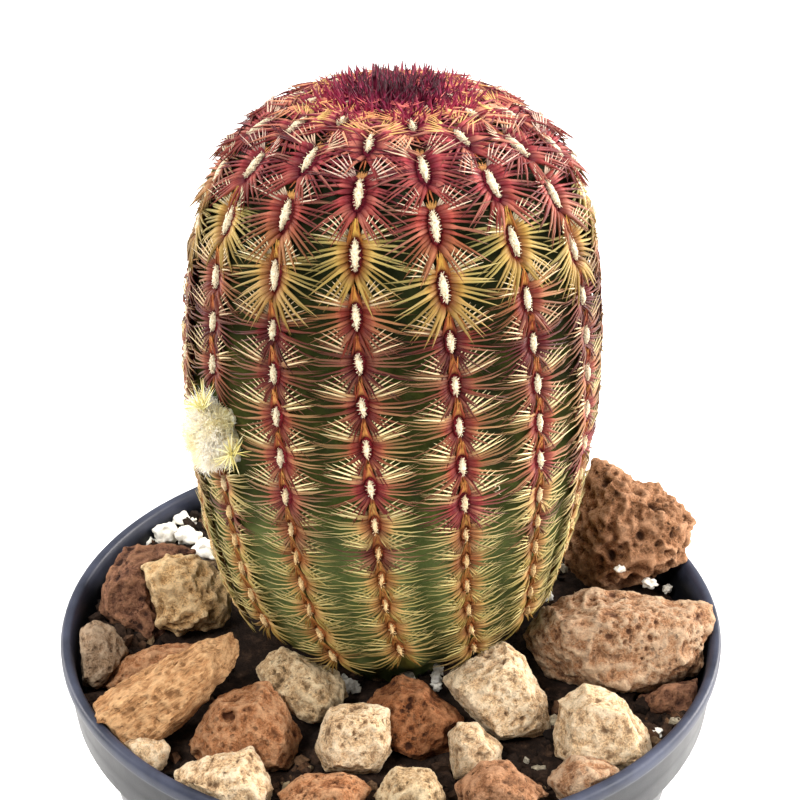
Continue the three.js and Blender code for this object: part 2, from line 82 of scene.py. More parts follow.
def colour_ramp(level, stops):
    node = step(level.id_data, "ValToRGB", {"Fac": level})
    marks = node.color_ramp.elements
    while len(marks) < len(stops):
        marks.new(0.5)
    for mark, (place, colour) in zip(marks, stops):
        mark.position = place
        mark.color = colour
    return node.outputs["Color"]


def shades(level, *stops):
    return colour_ramp(level, [(place, tint(*colour)) for place, *colour in stops])


def mixed(share, first, second, blend="MIX"):
    node = step(tree_of(share, first, second), "Mix", {0: share, 6: first, 7: second}, data_type="RGBA",
                blend_type=blend)
    return node.outputs[2]


def rescaled(level, low, high, to_low=0.0, to_high=1.0):
    node = step(level.id_data, "MapRange", {"Value": level, "From Min": low, "From Max": high,
                                            "To Min": to_low, "To Max": to_high})
    return node.outputs["Result"]


def grain(tree, scale, detail=4.0, roughness=0.5, place=None, stretch=None, distortion=0.0):
    if place is None:
        place = step(tree, "TexCoord").outputs["Object"]
    if stretch:
        place = step(tree, "Mapping", {"Vector": place, "Scale": stretch}).outputs["Vector"]
    node = step(tree, "TexNoise", {"Vector": place, "Scale": scale, "Detail": detail,
                                   "Roughness": roughness, "Distortion": distortion})
    return node.outputs["Fac"]


def raise_surface(shader, *heights):
    tree = shader.id_data
    normal = None
    for level, distance, strength in heights:
        inputs = {"Height": level, "Distance": distance, "Strength": strength}
        if normal:
            inputs["Normal"] = normal
        normal = step(tree, "Bump", inputs).outputs["Normal"]
    tree.links.new(normal, shader.inputs["Normal"])


def coat(shader, colour):
    shader.id_data.links.new(colour, shader.inputs["Base Color"])


def new_object(name, data):
    made = bpy.data.objects.new(name, data)
    bpy.context.scene.collection.objects.link(made)
    return made


def keep_piece(name, mesh, finish, slot, *nodes):
    mesh.materials.clear()
    mesh.materials.append(finish)
    piece = new_object(name, mesh)
    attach(piece, "root")
    if nodes:
        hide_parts(*nodes)


def mesh_from(name, build, smooth=True):
    mesh = bpy.data.meshes.new(name)
    for face in build.faces:
        face.smooth = smooth
    build.to_mesh(mesh)
    build.free()
    return mesh


def turned(corners, turns):
    build = bmesh.new()
    line = [build.verts.new(corner) for corner in corners]
    for here, there in zip(line, line[1:]):
        build.edges.new((here, there))
    bmesh.ops.spin(build, geom=build.verts[:] + build.edges[:], cent=(0, 0, 0), axis=(0, 0, 1),
                   angle=math.tau, steps=turns, use_merge=True)
    bmesh.ops.remove_doubles(build, verts=build.verts, dist=1e-6)
    return build


def modified_mesh(holder):
    bpy.context.view_layer.update()
    return bpy.data.meshes.new_from_object(holder.evaluated_get(bpy.context.evaluated_depsgraph_get()))


RIM_HEIGHT = 105
POT_SECTION = [
    (0, 3), (39, 3), (39.6, 0.4), (40.2, 0), (47.6, 0), (48.3, 0.3), (49, 1.2), (56.8, 46), (64.6, 90),
    (65.4, 90.5), (67.6, 90.7), (68.2, 91.2), (68.7, 96.5), (69.1, 101.6), (69.8, 102.1), (70, 102.8),
    (70, 104.1), (69.8, 104.7), (69.3, 105), (68.7, 105), (68.1, 104.9), (67.7, 104.4), (67.4, 103),
    (66.8, 97.5), (66.2, 92.5), (65.6, 91.3), (63.2, 89.2), (55.1, 47), (47.2, 6), (46.9, 5.3), (46, 5),
    (0, 5),
]
DRAIN_HOLES = 6
DRAIN_CIRCLE = 28
DRAIN_RADIUS = 4
FLOOR_HEIGHT = 4
POT_TURNS = 144
pot_build = turned([(radius * MM, 0, height * MM) for radius, height in POT_SECTION], POT_TURNS)
bmesh.ops.recalc_face_normals(pot_build, faces=pot_build.faces)
drill_build = bmesh.new()
for hole in range(DRAIN_HOLES):
    angle = (hole + 0.5) * math.tau / DRAIN_HOLES
    place = Matrix.Translation((DRAIN_CIRCLE * MM * math.cos(angle), DRAIN_CIRCLE * MM * math.sin(angle),
                                FLOOR_HEIGHT * MM))
    bmesh.ops.create_cone(drill_build, cap_ends=True, segments=24, radius1=DRAIN_RADIUS * MM,
                          radius2=DRAIN_RADIUS * MM, depth=12 * MM, matrix=place)
drill = new_object("drill", mesh_from("drill", drill_build))
blank = new_object("blank_pot", mesh_from("blank_pot", pot_build))
piercing = blank.modifiers.new("drain holes", "BOOLEAN")
piercing.object = drill
piercing.operation = "DIFFERENCE"
pot_mesh = modified_mesh(blank)
for helper in (drill, blank):
    bpy.data.objects.remove(helper)

pot_finish, tree, shader = start_finish("black_pot_plastic", 0.4, 0.22)
scuffs = grain(tree, 90, 8, 0.65)
height = step(tree, "SeparateXYZ", {"Vector": step(tree, "TexCoord").outputs["Object"]}).outputs["Z"]
near_rim = rescaled(height, (RIM_HEIGHT - 4.5) * MM, (RIM_HEIGHT - 1.5) * MM)
plain = shades(scuffs, (0.3, 11, 12, 15), (0.55, 16, 17, 21), (0.75, 27, 28, 33))
# Near the rim the black plastic turns a lighter blue-grey: partly rubbed wear, partly a painted sheen along
# the rim
worn_and_sheen = shades(scuffs, (0.3, 30, 33, 44), (0.7, 58, 62, 78))
coat(shader, mixed(near_rim, plain, worn_and_sheen))
tree.links.new(rescaled(scuffs, 0.3, 0.75, 0.36, 0.46), shader.inputs["Roughness"])
raise_surface(shader, (grain(tree, 2600, 3), 0.00005, 0.5),
              (grain(tree, 26, 2, stretch=(1, 1, 0.25)), 0.0004, 0.3))
keep_piece("nursery_pot", pot_mesh, pot_finish, "pot_plastic", "pot")

# Potting mix: dark brown peat and grit that fill the pot to just under its rim, pressed in by hand. Loose
# crumbs, bark chips and grit of the same mix lie on it, a few of them pale.
soil_finish, tree, shader = start_finish("dark_potting_mix", 0.95, 0.15)
clods = grain(tree, 420, 8, 0.7)
coat(shader, shades(clods, (0.25, 15, 10, 8), (0.5, 42, 30, 23), (0.64, 66, 49, 38), (0.8, 112, 92, 74)))
raise_surface(shader, (clods, 0.0018, 0.9), (grain(tree, 2500, 2), 0.0003, 0.7))
soil_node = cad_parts["soil"]
soil_node.data.materials.clear()
soil_node.data.materials.append(soil_finish)


def surface_of(names):
    corners, triangles = [], []
    for name in names:
        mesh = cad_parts[name].data
        offset = len(corners)
        corners += [vert.co.copy() for vert in mesh.vertices]
        triangles += [[offset + index for index in face.vertices] for face in mesh.polygons]
    return BVHTree.FromPolygons(corners, triangles)


ON_THE_SOIL = ("stem", "stone_", "perlite_")
LOOK_DOWN_FROM = 200
COVER_GAP = 3.5
soil_top = surface_of(["soil"])
above_soil = surface_of([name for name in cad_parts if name.startswith(ON_THE_SOIL)])


def bare_soil(x, y):
    start = Vector((x, y, LOOK_DOWN_FROM * MM))
    ground = soil_top.ray_cast(start, Vector((0, 0, -1)))[0]
    cover = above_soil.ray_cast(start, Vector((0, 0, -1)))[0]
    if ground is None or (cover is not None and cover.z > ground.z + COVER_GAP * MM):
        return None
    return ground


def pattern_mesh(create, **steps):
    build = bmesh.new()
    create(build, radius=1, **steps)
    return mesh_from("pattern", build)


def add_copy(build, pattern):
    already = len(build.verts)
    build.from_mesh(pattern)
    build.verts.ensure_lookup_table()
    return build.verts[already:]


def add_lump(build, place, size, pattern, jag):
    made = add_copy(build, pattern)
    turn = Matrix.Rotation(uniform(0, math.tau), 3, Vector((gauss(0, 1), gauss(0, 1), 1)))
    stretch = Vector((uniform(0.75, 1.3), uniform(0.7, 1.1), uniform(0.55, 0.9)))
    shift = Vector((uniform(0, 90), uniform(0, 90), uniform(0, 90)))
    for vert in made:
        swell = 1 + jag * 2 * noise.noise(vert.co * 1.7 + shift)
        vert.co = place + turn @ (vert.co * swell * stretch) * size
    return made


SOIL_REACH = 65.5
CRUMB_CORNERS = 16000
CRUMB_SIZES = (0.5, 0.6, 0.8, 0.9, 1.1, 1.5, 2.0)
random.seed(11)
crumb_pattern = pattern_mesh(bmesh.ops.create_icosphere, subdivisions=1)
crumb_build = bmesh.new()
crumb_chance = crumb_build.verts.layers.float.new("chance")
while len(crumb_build.verts) < CRUMB_CORNERS:
    reach = SOIL_REACH * math.sqrt(random.random()) * MM
    angle = uniform(0, math.tau)
    ground = bare_soil(reach * math.cos(angle), reach * math.sin(angle))
    if ground is None:
        continue
    size = random.choice(CRUMB_SIZES) * MM
    level = random.random()
    for vert in add_lump(crumb_build, ground + Vector((0, 0, 0.25 * size)), size, crumb_pattern, 0.35):
        vert[crumb_chance] = level


def painted(tree, name):
    return step(tree, "Attribute", attribute_name=name).outputs["Fac"]


crumb_finish, tree, shader = start_finish("loose_crumbs", 0.95, 0.15)
chance = painted(tree, "chance")
crumb_colour = shades(chance, (0.0, 24, 17, 13), (0.45, 48, 35, 27), (0.72, 74, 55, 42), (0.86, 98, 70, 50),
                      (0.93, 126, 104, 78), (0.975, 168, 152, 120), (1.0, 205, 198, 180))
mottle = shades(grain(tree, 1500, 4), (0.3, 120, 116, 112), (0.7, 255, 255, 255))
coat(shader, mixed(0.8, crumb_colour, mottle, "MULTIPLY"))
raise_surface(shader, (grain(tree, 2200, 4), 0.0003, 0.8))
keep_piece("soil_crumbs", mesh_from("soil_crumbs", crumb_build, False), crumb_finish, "soil")

# Cactus stem: one barrel of fifteen low ribs in waxy green skin, a little glossy, with painted shade
# darkening it between the ribs, rooted through the middle of the soil. The ribs wind a little to one side on
# the way down.
STEM_AXIS = (-0.6, 3.9)
STEM_LEAN = 0.0164
RIBS = 15
HALF_RIBS = RIBS // 2
RIB_STEP = math.tau / RIBS
VALLEY_SHARE = 0.115
STEM_PROFILE = [(0, 110), (6.9, 110.9), (13.5, 110.6), (20.4, 108.4), (28.8, 102.4), (35, 91.4),
                (38.4, 76.1), (39.7, 55.3), (38.4, 34.6), (35.7, 17.3), (31, 4.6), (19.9, -4.6),
                (12.5, -9.5), (9.4, -14), (8.6, -29)]


def crest_points(profile):
    marks = [Vector(mark) for mark in profile]
    marks = [2 * marks[0] - marks[1]] + marks + [2 * marks[-1] - marks[-2]]
    line = []
    for a, b, c, d in zip(marks, marks[1:], marks[2:], marks[3:]):
        before, here, after = [(q - p).length ** 0.5 for p, q in ((a, b), (b, c), (c, d))]
        leaving = (b - a) / before - (c - a) / (before + here) + (c - b) / here
        arriving = (c - b) / here - (d - b) / (here + after) + (d - c) / after
        handles = (b + leaving * here / 3, c - arriving * here / 3)
        line += interpolate_bezier(b.to_3d(), handles[0].to_3d(), handles[1].to_3d(), c.to_3d(), 60)[:-1]
    return np.array([point[:2] for point in line] + [marks[-2][:2]])


# The crest dips in the middle of the top, so its first points are passed over in a search by height
TOP_DIP = 40
crest_line = crest_points(STEM_PROFILE)
crest_length = np.concatenate([[0], np.cumsum(np.linalg.norm(np.diff(crest_line, axis=0), axis=1))])


def crest(s):
    radius = np.interp(s, crest_length, crest_line[:, 0])
    return max(float(radius), 0.0), float(np.interp(s, crest_length, crest_line[:, 1]))


def crest_length_at(height):
    return float(np.interp(-height, -crest_line[TOP_DIP:, 1], crest_length[TOP_DIP:]))


def eased(value, low, high):
    share = min(max((value - low) / (high - low), 0), 1)
    return share * share * (3 - 2 * share)


def rib_angle(rib, height):
    level = max(height, -6)
    low = max(0, 30 - level) / 30
    return rib * RIB_STEP + math.radians(-6.3 - 8.6 * (level - 60) / 60 + 9.2 * low * low)


def skin(rib, across, s, proud=0.0):
    radius, height = crest(s)
    fade = eased(s, 2, 16) * eased(height, -7, 6)
    dip = VALLEY_SHARE * radius * fade * math.sin(min(abs(across), 1) * math.pi / 2) ** 2
    angle = rib_angle(rib, height) + across * RIB_STEP / 2
    reach = radius - dip + proud
    return Vector((STEM_AXIS[0] + STEM_LEAN * height + reach * math.sin(angle),
                   STEM_AXIS[1] - reach * math.cos(angle), RIM_HEIGHT + height)) * MM


def crest_frame(rib, s):
    up = (skin(rib, 0, s - 1) - skin(rib, 0, s + 1)).normalized()
    right = skin(rib, 0.1, s) - skin(rib, -0.1, s)
    right = (right - up * right.dot(up)).normalized()
    return right, up, right.cross(up)


# An areole's place is its distance from the tip along the crest, in mm. Its season of growth, from 0 to 1,
# is that distance over SEASONS.
FIRST_AREOLE = (9.8, 5)
AREOLE_LIMIT = 128
SEASONS = 130


def areoles_of(rib):
    places = []
    s = FIRST_AREOLE[abs(rib) % 2]
    while s < AREOLE_LIMIT:
        places.append(s)
        s += 10.4 - 2.3 * eased(s, 42, 54) - 1.8 * eased(s, 84, 94)
    return places


rib_places = {rib: np.array(areoles_of(rib)) for rib in range(-HALF_RIBS, HALF_RIBS + 1)}
areoles = [(rib, s) for rib in rib_places for s in areoles_of(rib)]

STEPS_PER_RIB = 14
stem_rows = np.concatenate([np.arange(0, 136, 1.15), [138, 142, 150, crest_length[-1] - 2]])
stem_line = [(0, -crest(s)[0] * MM, s) for s in stem_rows] + [(0, 0, stem_rows[-1] + 0.01)]
stem_build = turned(stem_line, RIBS * STEPS_PER_RIB)
ridge_layer = stem_build.verts.layers.float.new("ridge")
season_layer = stem_build.verts.layers.float.new("season")
for vert in stem_build.verts:
    turn = math.atan2(vert.co.x, -vert.co.y) / RIB_STEP
    across = (turn - round(turn)) * 2
    rib = (round(turn) + HALF_RIBS) % RIBS - HALF_RIBS
    s = vert.co.z
    bulge = 0.0
    if 8 < s < SEASONS:
        nearest = np.min(np.abs(rib_places[rib] - s))
        bulge = 0.7 * math.exp(-(nearest / 2.6) ** 2) * (1 - abs(across)) ** 1.5 * eased(s, 8, 20)
    ripple = 0.25 * noise.noise(Vector((turn * 1.3, s * 0.16, 3)))
    vert[ridge_layer] = 1 - abs(across)
    vert[season_layer] = s / SEASONS
    # The last corners of the root lie on the axis and belong to no rib
    if s > 1 and vert.co.xy.length <= 1e-6:
        vert.co = skin(0, 0, s)
    else:
        vert.co = skin(rib, across, s, bulge - 0.15 + ripple * eased(s, 5, 15))
root_end = max(stem_build.verts, key=lambda vert: vert[season_layer])
root_end.co = Vector((STEM_AXIS[0] - STEM_LEAN * 30, STEM_AXIS[1], RIM_HEIGHT + STEM_PROFILE[-1][1])) * MM
bmesh.ops.recalc_face_normals(stem_build, faces=stem_build.faces)

skin_finish, tree, shader = start_finish("waxy_green_skin", 0.7, 0.1)
ridge = painted(tree, "ridge")
season = painted(tree, "season")
blotch = grain(tree, 160, 5, 0.6)
green = shades(blotch, (0.3, 58, 64, 36), (0.5, 82, 92, 52), (0.7, 112, 122, 76))
# The skin is multiplied darker towards the top and mixed towards near-black green in the upper part, painted
# shadow of the dense upper spines; near the crown it turns dark maroon, and low down, where the spines are
# sparse, it is mixed lighter
painted_spine_shadow = shades(season, (0.46, 160, 156, 112), (0.56, 176, 166, 124), (0.7, 196, 196, 156),
               (0.8, 240, 238, 200))
green = mixed(1.0, green, painted_spine_shadow, "MULTIPLY")
green = mixed(rescaled(season, 0.5, 0.36, 0, 0.75), green, tint(30, 34, 16))
green = mixed(rescaled(season, 0.17, 0.09), green, tint(96, 30, 42))
green = mixed(rescaled(season, 0.72, 0.8, 0, 0.45), green, tint(112, 122, 78))
# The crests are tinted tan like the spine bases; the valleys are a little darker, painted shade in the
# creases
crest_tint_and_valley_shade = shades(ridge, (0.0, 225, 235, 220), (0.6, 255, 255, 255), (0.92, 214, 196, 150))
coat(shader, mixed(1.0, green, crest_tint_and_valley_shade, "MULTIPLY"))
tree.links.new(rescaled(blotch, 0.3, 0.7, 0.5, 0.72), shader.inputs["Roughness"])
raise_surface(shader, (grain(tree, 2400, 3), 0.00012, 0.5), (grain(tree, 330, 3), 0.0005, 0.35))
keep_piece("cactus_stem", mesh_from("cactus_stem", stem_build), skin_finish, "cactus_skin", "stem")

# Areoles: on each rib crest a felted cream pad of wool, long, pointed at both ends and ragged at its edge, in
# a dark maroon cushion from which the spines grow. The pads get shorter and thinner towards the soil.


def pad_size(s):
    young = 1 - eased(s, 44, 56)
    old = eased(s, 86, 98)
    wide = 0.6 + 0.2 * young - 0.24 * old
    tall = 1.85 + 1.0 * young - 0.35 * old
    fresh = 1 - eased(s, 8, 27)
    return wide * (1 - 0.5 * fresh), tall * (1 - 0.65 * fresh)


BUD_RIB = -2
BUD_HEIGHT = 54.5
BUD_COVERS = 7.5
bud_centre_length = crest_length_at(BUD_HEIGHT)
open_areoles = [(rib, s) for rib, s in areoles
                if rib != BUD_RIB or abs(s - bud_centre_length) >= BUD_COVERS]
padded_areoles = [(rib, s) for rib, s in open_areoles if s > 8]

PAD_TEETH = 28
random.seed(23)
cushion_pattern = pattern_mesh(bmesh.ops.create_uvsphere, u_segments=12, v_segments=6)
pad_pattern = pattern_mesh(bmesh.ops.create_uvsphere, u_segments=PAD_TEETH, v_segments=6)
pad_build = bmesh.new()
pad_season = pad_build.verts.layers.float.new("season")
cushion_build = bmesh.new()
cushion_season = cushion_build.verts.layers.float.new("season")
for rib, s in padded_areoles:
    right, up, out = crest_frame(rib, s)
    wide, tall = pad_size(s)
    middle = skin(rib, 0, s)
    ring = 0.75 - 0.3 * eased(s, 86, 98)
    for vert in add_copy(cushion_build, cushion_pattern):
        local = vert.co.copy()
        x = local.x * (wide + ring) * (1 - 0.2 * local.y ** 2)
        y = local.y * (tall + ring)
        vert.co = middle + (right * x + up * y + out * (local.z + 0.1)) * MM
        vert[cushion_season] = s / SEASONS
    teeth = [uniform(0.95, 1.42) if tooth % 2 else uniform(0.6, 0.88) for tooth in range(PAD_TEETH)]
    twist = gauss(0, 0.12)
    for vert in add_copy(pad_build, pad_pattern):
        local = vert.co.copy()
        around = round(math.atan2(local.y, local.x) / math.tau * PAD_TEETH) % PAD_TEETH
        swell = 1 + (teeth[around] - 1) * (1 - local.z ** 2)
        x = local.x * wide * (1 - 0.5 * abs(local.y) ** 1.7) * swell + twist * local.y
        y = local.y * tall * (1 + 0.25 * (swell - 1))
        lump = 0.3 * noise.noise(Vector((local.x * 3, local.y * 5, s + rib * 3)))
        vert.co = middle + (right * x + up * y + out * (1.2 + 0.75 * local.z + lump)) * MM
        vert[pad_season] = s / SEASONS

wool_finish, tree, shader = start_finish("areole_wool", 1.0, 0.05)
fibre = grain(tree, 2600, 4, 0.7)
season = painted(tree, "season")
wool_colour = shades(fibre, (0.3, 150, 122, 90), (0.42, 208, 188, 152), (0.54, 232, 218, 188),
                     (0.75, 244, 236, 214))
aged_wool = shades(season, (0.64, 255, 255, 255), (0.76, 250, 228, 194))
coat(shader, mixed(1.0, wool_colour, aged_wool, "MULTIPLY"))
raise_surface(shader, (fibre, 0.0005, 1.0))
keep_piece("areole_pads", mesh_from("areole_pads", pad_build), wool_finish, "bud_wool")

cushion_finish, tree, shader = start_finish("maroon_cushions", 0.8, 0.15)
season = painted(tree, "season")
rings = shades(season, (0.0, 104, 20, 48), (0.22, 104, 16, 36), (0.3, 104, 30, 30), (0.38, 96, 20, 28),
               (0.6, 116, 24, 32), (0.69, 110, 26, 36), (0.72, 140, 72, 40), (0.8, 172, 104, 56),
               (1.0, 180, 110, 60))
felt = shades(grain(tree, 1300, 3), (0.3, 120, 105, 105), (0.7, 255, 255, 255))
coat(shader, mixed(0.8, rings, felt, "MULTIPLY"))
raise_surface(shader, (grain(tree, 1900, 3), 0.0004, 0.8))
keep_piece("areole_cushions", mesh_from("areole_cushions", cushion_build), cushion_finish, "cactus_skin")

# Spines: stiff tapering needles that grow from each cushion like two combs, swollen at the root and pressed
# down over the rib, in rose, gold, maroon and cream bands that follow the seasons of growth.
SPINE_SIDES = 4


class SpineBundle:
    def __init__(self, name):
        self.curve = bpy.data.curves.new(name, "CURVE")
        self.curve.dimensions = "3D"
        self.curve.bevel_depth = 1.0
        self.curve.bevel_resolution = 0
        self.marks = []

    def grow(self, points, radii, season, lift, chance):
        spline = self.curve.splines.new("POLY")
        spline.points.add(len(points) - 1)
        for index, (point, radius) in enumerate(zip(points, radii)):
            spline.points[index].co = (*point, 1)
            spline.points[index].radius = radius * MM
            self.marks.append((season, index / (len(points) - 1), lift, chance))

    def finish(self, finish, slot):
        name = self.curve.name
        holder = new_object(name, self.curve)
        mesh = bpy.data.meshes.new_from_object(holder)
        bpy.data.objects.remove(holder)
        values = np.repeat(np.array(self.marks, dtype=np.float32), SPINE_SIDES, axis=0)
        for column, title in enumerate(("season", "along", "lift", "chance")):
            layer = mesh.attributes.new(title, "FLOAT", "POINT")
            layer.data.foreach_set("value", np.ascontiguousarray(values[:, column]))
        build = bmesh.new()
        build.from_mesh(mesh)
        open_edges = [edge for edge in build.edges if edge.is_boundary]
        bmesh.ops.holes_fill(build, edges=open_edges, sides=SPINE_SIDES)
        bmesh.ops.recalc_face_normals(build, faces=build.faces)
        keep_piece(name, mesh_from(name, build), finish, slot)


def lerp(low, high, share):
    return low + (high - low) * share


# Distance of each joint from the root in mm, or as a share of the length when negative
COMB_JOINTS = (0, 0.7, 1.6, 2.4, 3.1, -0.62, -1)
COMB_TAPER = (0.95, 1.4, 1.55, 1.4, 0.95, 0.7, 0.05)
PLAIN_JOINTS = (0, -0.2, -0.44, -0.72, -1)
PLAIN_TAPER = (1.0, 0.92, 0.74, 0.5, 0.08)


def bent_spine(root, right, up, out, heading, length, tilt, flatten, curl, joints=PLAIN_JOINTS):
    reaches = [joint * min(1, length / 7) if joint >= 0 else -joint * length for joint in joints]
    points = [root]
    place = root.copy()
    for before, after in zip(reaches, reaches[1:]):
        share = (before + after) / 2 / length
        lean = math.radians(tilt * max(1 - share * 1.5, 0) ** 1.8 + flatten * share)
        way = math.radians(heading + curl * share * share)
        course = (right * math.cos(way) + up * math.sin(way)) * math.cos(lean) + out * math.sin(lean)
        place = place + course * (after - before) * MM
        points.append(place)
    return points


def girths(thickness, taper=PLAIN_TAPER):
    return [thickness * share for share in taper]


def fan_count(young, old, golden):
    if old > 0.5:
        return 8
    if golden > 0.5:
        return 18
    return 12 if young > 0.5 else 14


# Angle from straight down, length, thickness and share of the orange colour of each spine below a pad
LOW_SPINES = ((-25, 6.2, 0.36, 0.0), (-19, 5.6, 0.3, 0.2), (-6, 4.0, 0.32, 0.9), (5, 3.8, 0.32, 1.0),
              (18, 5.5, 0.3, 0.15), (24, 6.2, 0.36, 0.05))
TENT_SPINES = 13


def comb_areole(bundle, rib, s):
    right, up, out = crest_frame(rib, s)
    wide, tall = pad_size(s)
    middle = skin(rib, 0, s, 0.25)
    young = 1 - eased(s, 46, 58)
    capped = 1 - eased(s, 36.5, 40)
    old = eased(s, 86, 98)
    crowded = 1 - eased(s, 8, 24)
    golden = eased(s, 13.5, 16.5) * (1 - eased(s, 21, 25))
    season = (s + gauss(0, 0.5)) / SEASONS

    # Two combs of stout spines, one on each side of the pad
    full = (10.5 - 1.5 * old) * (1 - 0.22 * crowded)
    count = 16 if s < 96 else 13
    top_heading = lerp(16, 14, young)
    crowding = lerp(1.55, 1.0, young)
    thick = lerp(0.27, 0.34, young) * (1 - 0.22 * old) * (1 - 0.15 * crowded)
    layer = 5 * (abs(rib) % 2)
    for side in (-1, 1):
        for index in range(count):
            share = min(max((index + uniform(-0.25, 0.25)) / (count - 1), 0), 1)
            seat = math.radians(lerp(72, -82, share))
            heading = top_heading - (top_heading + 66) * share ** crowding + gauss(0, 2.5)
            lift = math.sin(math.radians(heading))
            steep = max(0, -lift) ** 3
            reach = full * (1 - 0.42 * max(0, lift) - lerp(0.5, 0.28, young) * steep) * uniform(0.86, 1.08)
            root = middle + (right * side * (wide + 0.3) * math.cos(seat)
                             + up * (tall + 0.3) * math.sin(seat)) * MM
            curved = lerp(8, 2, young) * (1.1 - abs(lift)) * uniform(0.4, 1.5)
            sunk = layer + lerp(-25, -8, lift * lift) + 12 * capped + gauss(0, 2)
            points = bent_spine(root, right * side, up, out, heading, max(reach, 5.2), 46 + gauss(0, 5),
                                sunk, curved, COMB_JOINTS)
            girth = thick * uniform(0.85, 1.15) * (1 - 0.25 * eased(lift, 0.3, 0.6))
            girth *= 1 - (1 - young) * (0.55 * steep + 0.3 * eased(lift, 0.05, 0.3))
            bundle.grow(points, girths(girth, COMB_TAPER), season, lift, random.random())

    # A fan of fine white needles above the pad, golden in the ring below the crown
    for index in range(fan_count(young, old, golden)):
        side = -1 if index % 2 else 1
        level = index // 2
        heading = lerp(20, 14, young) + lerp(7, 10.5 - 2.5 * golden, young) * level + gauss(0, 0.9)
        seat_height = tall - lerp(0.5, 0.6, young) + lerp(0.4, 0.2, young) * level
        root = middle + (right * side * lerp(0.6, 0.9, young) + up * seat_height) * MM
        reach = lerp(8.6 - 0.75 * level, 7.2 - 0.8 * golden - (0.5 - 0.2 * golden) * level, young)
        reach = reach * (1 - 0.15 * old) * uniform(0.95, 1.04)
        points = bent_spine(root, right * side, up, out, heading, reach, lerp(44, 62, young),
                            lerp(6, 24 - 14 * golden, young), -4)
        girth = 0.25 - 0.04 * old - 0.02 * young + 0.03 * golden
        bundle.grow(points, girths(girth), season, 1.6, random.random())

    # A tent of short gold spines over the upper end of the pad
    for index in range(TENT_SPINES):
        side = index / 6 - 1
        seat_height = tall * (1 - lerp(0.7, 0.3, capped) * side * side) + 0.2
        root = middle + (right * side * (wide + lerp(0.8, 0.75, capped)) + up * seat_height) * MM
        heading = 90 + lerp(16, -34, capped) * side + gauss(0, 3)
        reach = lerp(3.5 + 1.0 * abs(side), 1.9 - 0.4 * abs(side), capped) * uniform(0.85, 1.1)
        points = bent_spine(root, right, up, out, heading, reach, 56, 16, 0)
        bundle.grow(points, girths(0.38 - 0.08 * (1 - capped) - 0.04 * old), season, 1.2, 1 - abs(side))

    # A bundle of spines that point downward below the pad
    for angle, length, girth, level in LOW_SPINES:
        if old > 0.4 and abs(angle) < 10:
            continue
        root = middle + (right * angle * 0.035 - up * (tall + 0.1)) * MM
        reach = length * uniform(0.88, 1.1) * (1 - 0.2 * old)
        points = bent_spine(root, right, up, out, -90 + angle + gauss(0, 3), reach, 42, 6, angle * 0.2)
        bundle.grow(points, girths(girth), season, -1.5, level)


random.seed(31)
pad_hairs = SpineBundle("pad_hairs")
for rib, s in padded_areoles:
    right, up, out = crest_frame(rib, s)
    wide, tall = pad_size(s)
    middle = skin(rib, 0, s)
    hair_count = round(lerp(27, 13, eased(s, 50, 96)))
    for index in range(hair_count):
        around = (index + random.random()) / hair_count * math.tau
        x, y = math.cos(around) * (0.75 + 0.25 * abs(math.cos(around))), math.sin(around)
        root = middle + (right * x * wide * 0.8 + up * y * tall * 0.9 + out * uniform(1.0, 1.7)) * MM
        way = (right * x * 1.2 + up * (y * 0.6 + gauss(0, 0.35)) + out * uniform(0, 0.7)).normalized()
        length = uniform(0.28, 0.6) * MM
        hair = [root, root + way * length * 0.5, root + way * length]
        pad_hairs.grow(hair, (0.1, 0.07, 0.02), s / SEASONS, 0, 0)

# One loose thread of wool, caught on the spines beside a pad
THREAD_RIB = 1
THREAD_PLACE = 87
right, up, out = crest_frame(THREAD_RIB, THREAD_PLACE)
thread_foot = skin(THREAD_RIB, 0, THREAD_PLACE)
thread = [thread_foot + (right * (6.6 + 0.55 * math.sin(index * 1.25)) + up * (1.6 - 0.3 * index)
                         + out * (0.9 + 0.3 * math.cos(index * 1.7))) * MM for index in range(12)]
pad_hairs.grow(thread, [0.1] * 11 + [0.03], 0.5, 0, 0)
pad_hairs.finish(wool_finish, "bud_wool")

random.seed(47)
SPINE_BANDS = (("upper_spines", 34), ("shoulder_spines", 56), ("middle_spines", 78), ("lower_spines", 100),
               ("foot_spines", AREOLE_LIMIT))
combs = {name: SpineBundle(name) for name, limit in SPINE_BANDS}
for rib, s in open_areoles:
    band = next(name for name, limit in SPINE_BANDS if s < limit)
    comb_areole(combs[band], rib, s)

# The crown's spines stand on the tip in a spiral, each turned by the golden angle, and point away from a
# place inside the tip
CROWN_SPINES = 680
GOLDEN_ANGLE = 2.399963
CROWN_FOCUS = 86
crown_tuft = SpineBundle("crown_spines")
crown_focus = Vector((STEM_AXIS[0] + STEM_LEAN * 110, STEM_AXIS[1], RIM_HEIGHT + CROWN_FOCUS)) * MM
for index in range(CROWN_SPINES):
    s = 0.3 + 16.2 * ((index + 0.5) / CROWN_SPINES) ** 0.66
    turn = index * GOLDEN_ANGLE + gauss(0, 0.1)
    rib = (turn / RIB_STEP + HALF_RIBS) % RIBS - HALF_RIBS
    root = skin(round(rib), (rib - round(rib)) * 2, s, -0.3)
    away = (root - crown_focus).normalized()
    side = away.cross(Vector((0.3, 1, 0.2))).normalized()
    other = away.cross(side)
    scatter = uniform(0, math.tau)
    spread = math.radians(abs(gauss(0, 24)))
    outer = eased(s, 8, 15)
    length = uniform(3.2, 5.8) * (1 - 0.2 * outer)
    bend = (side * math.cos(scatter) + other * math.sin(scatter)) * math.sin(spread)
    course = (away * math.cos(spread) + bend).normalized()
    points = [root + course * length * -joint * MM + bend * joint * joint * MM for joint in PLAIN_JOINTS]
    crown_tuft.grow(points, girths(uniform(0.34, 0.5)), s / SEASONS * lerp(0.6, 0.85, outer), 0.0,
                    uniform(0, 0.5))


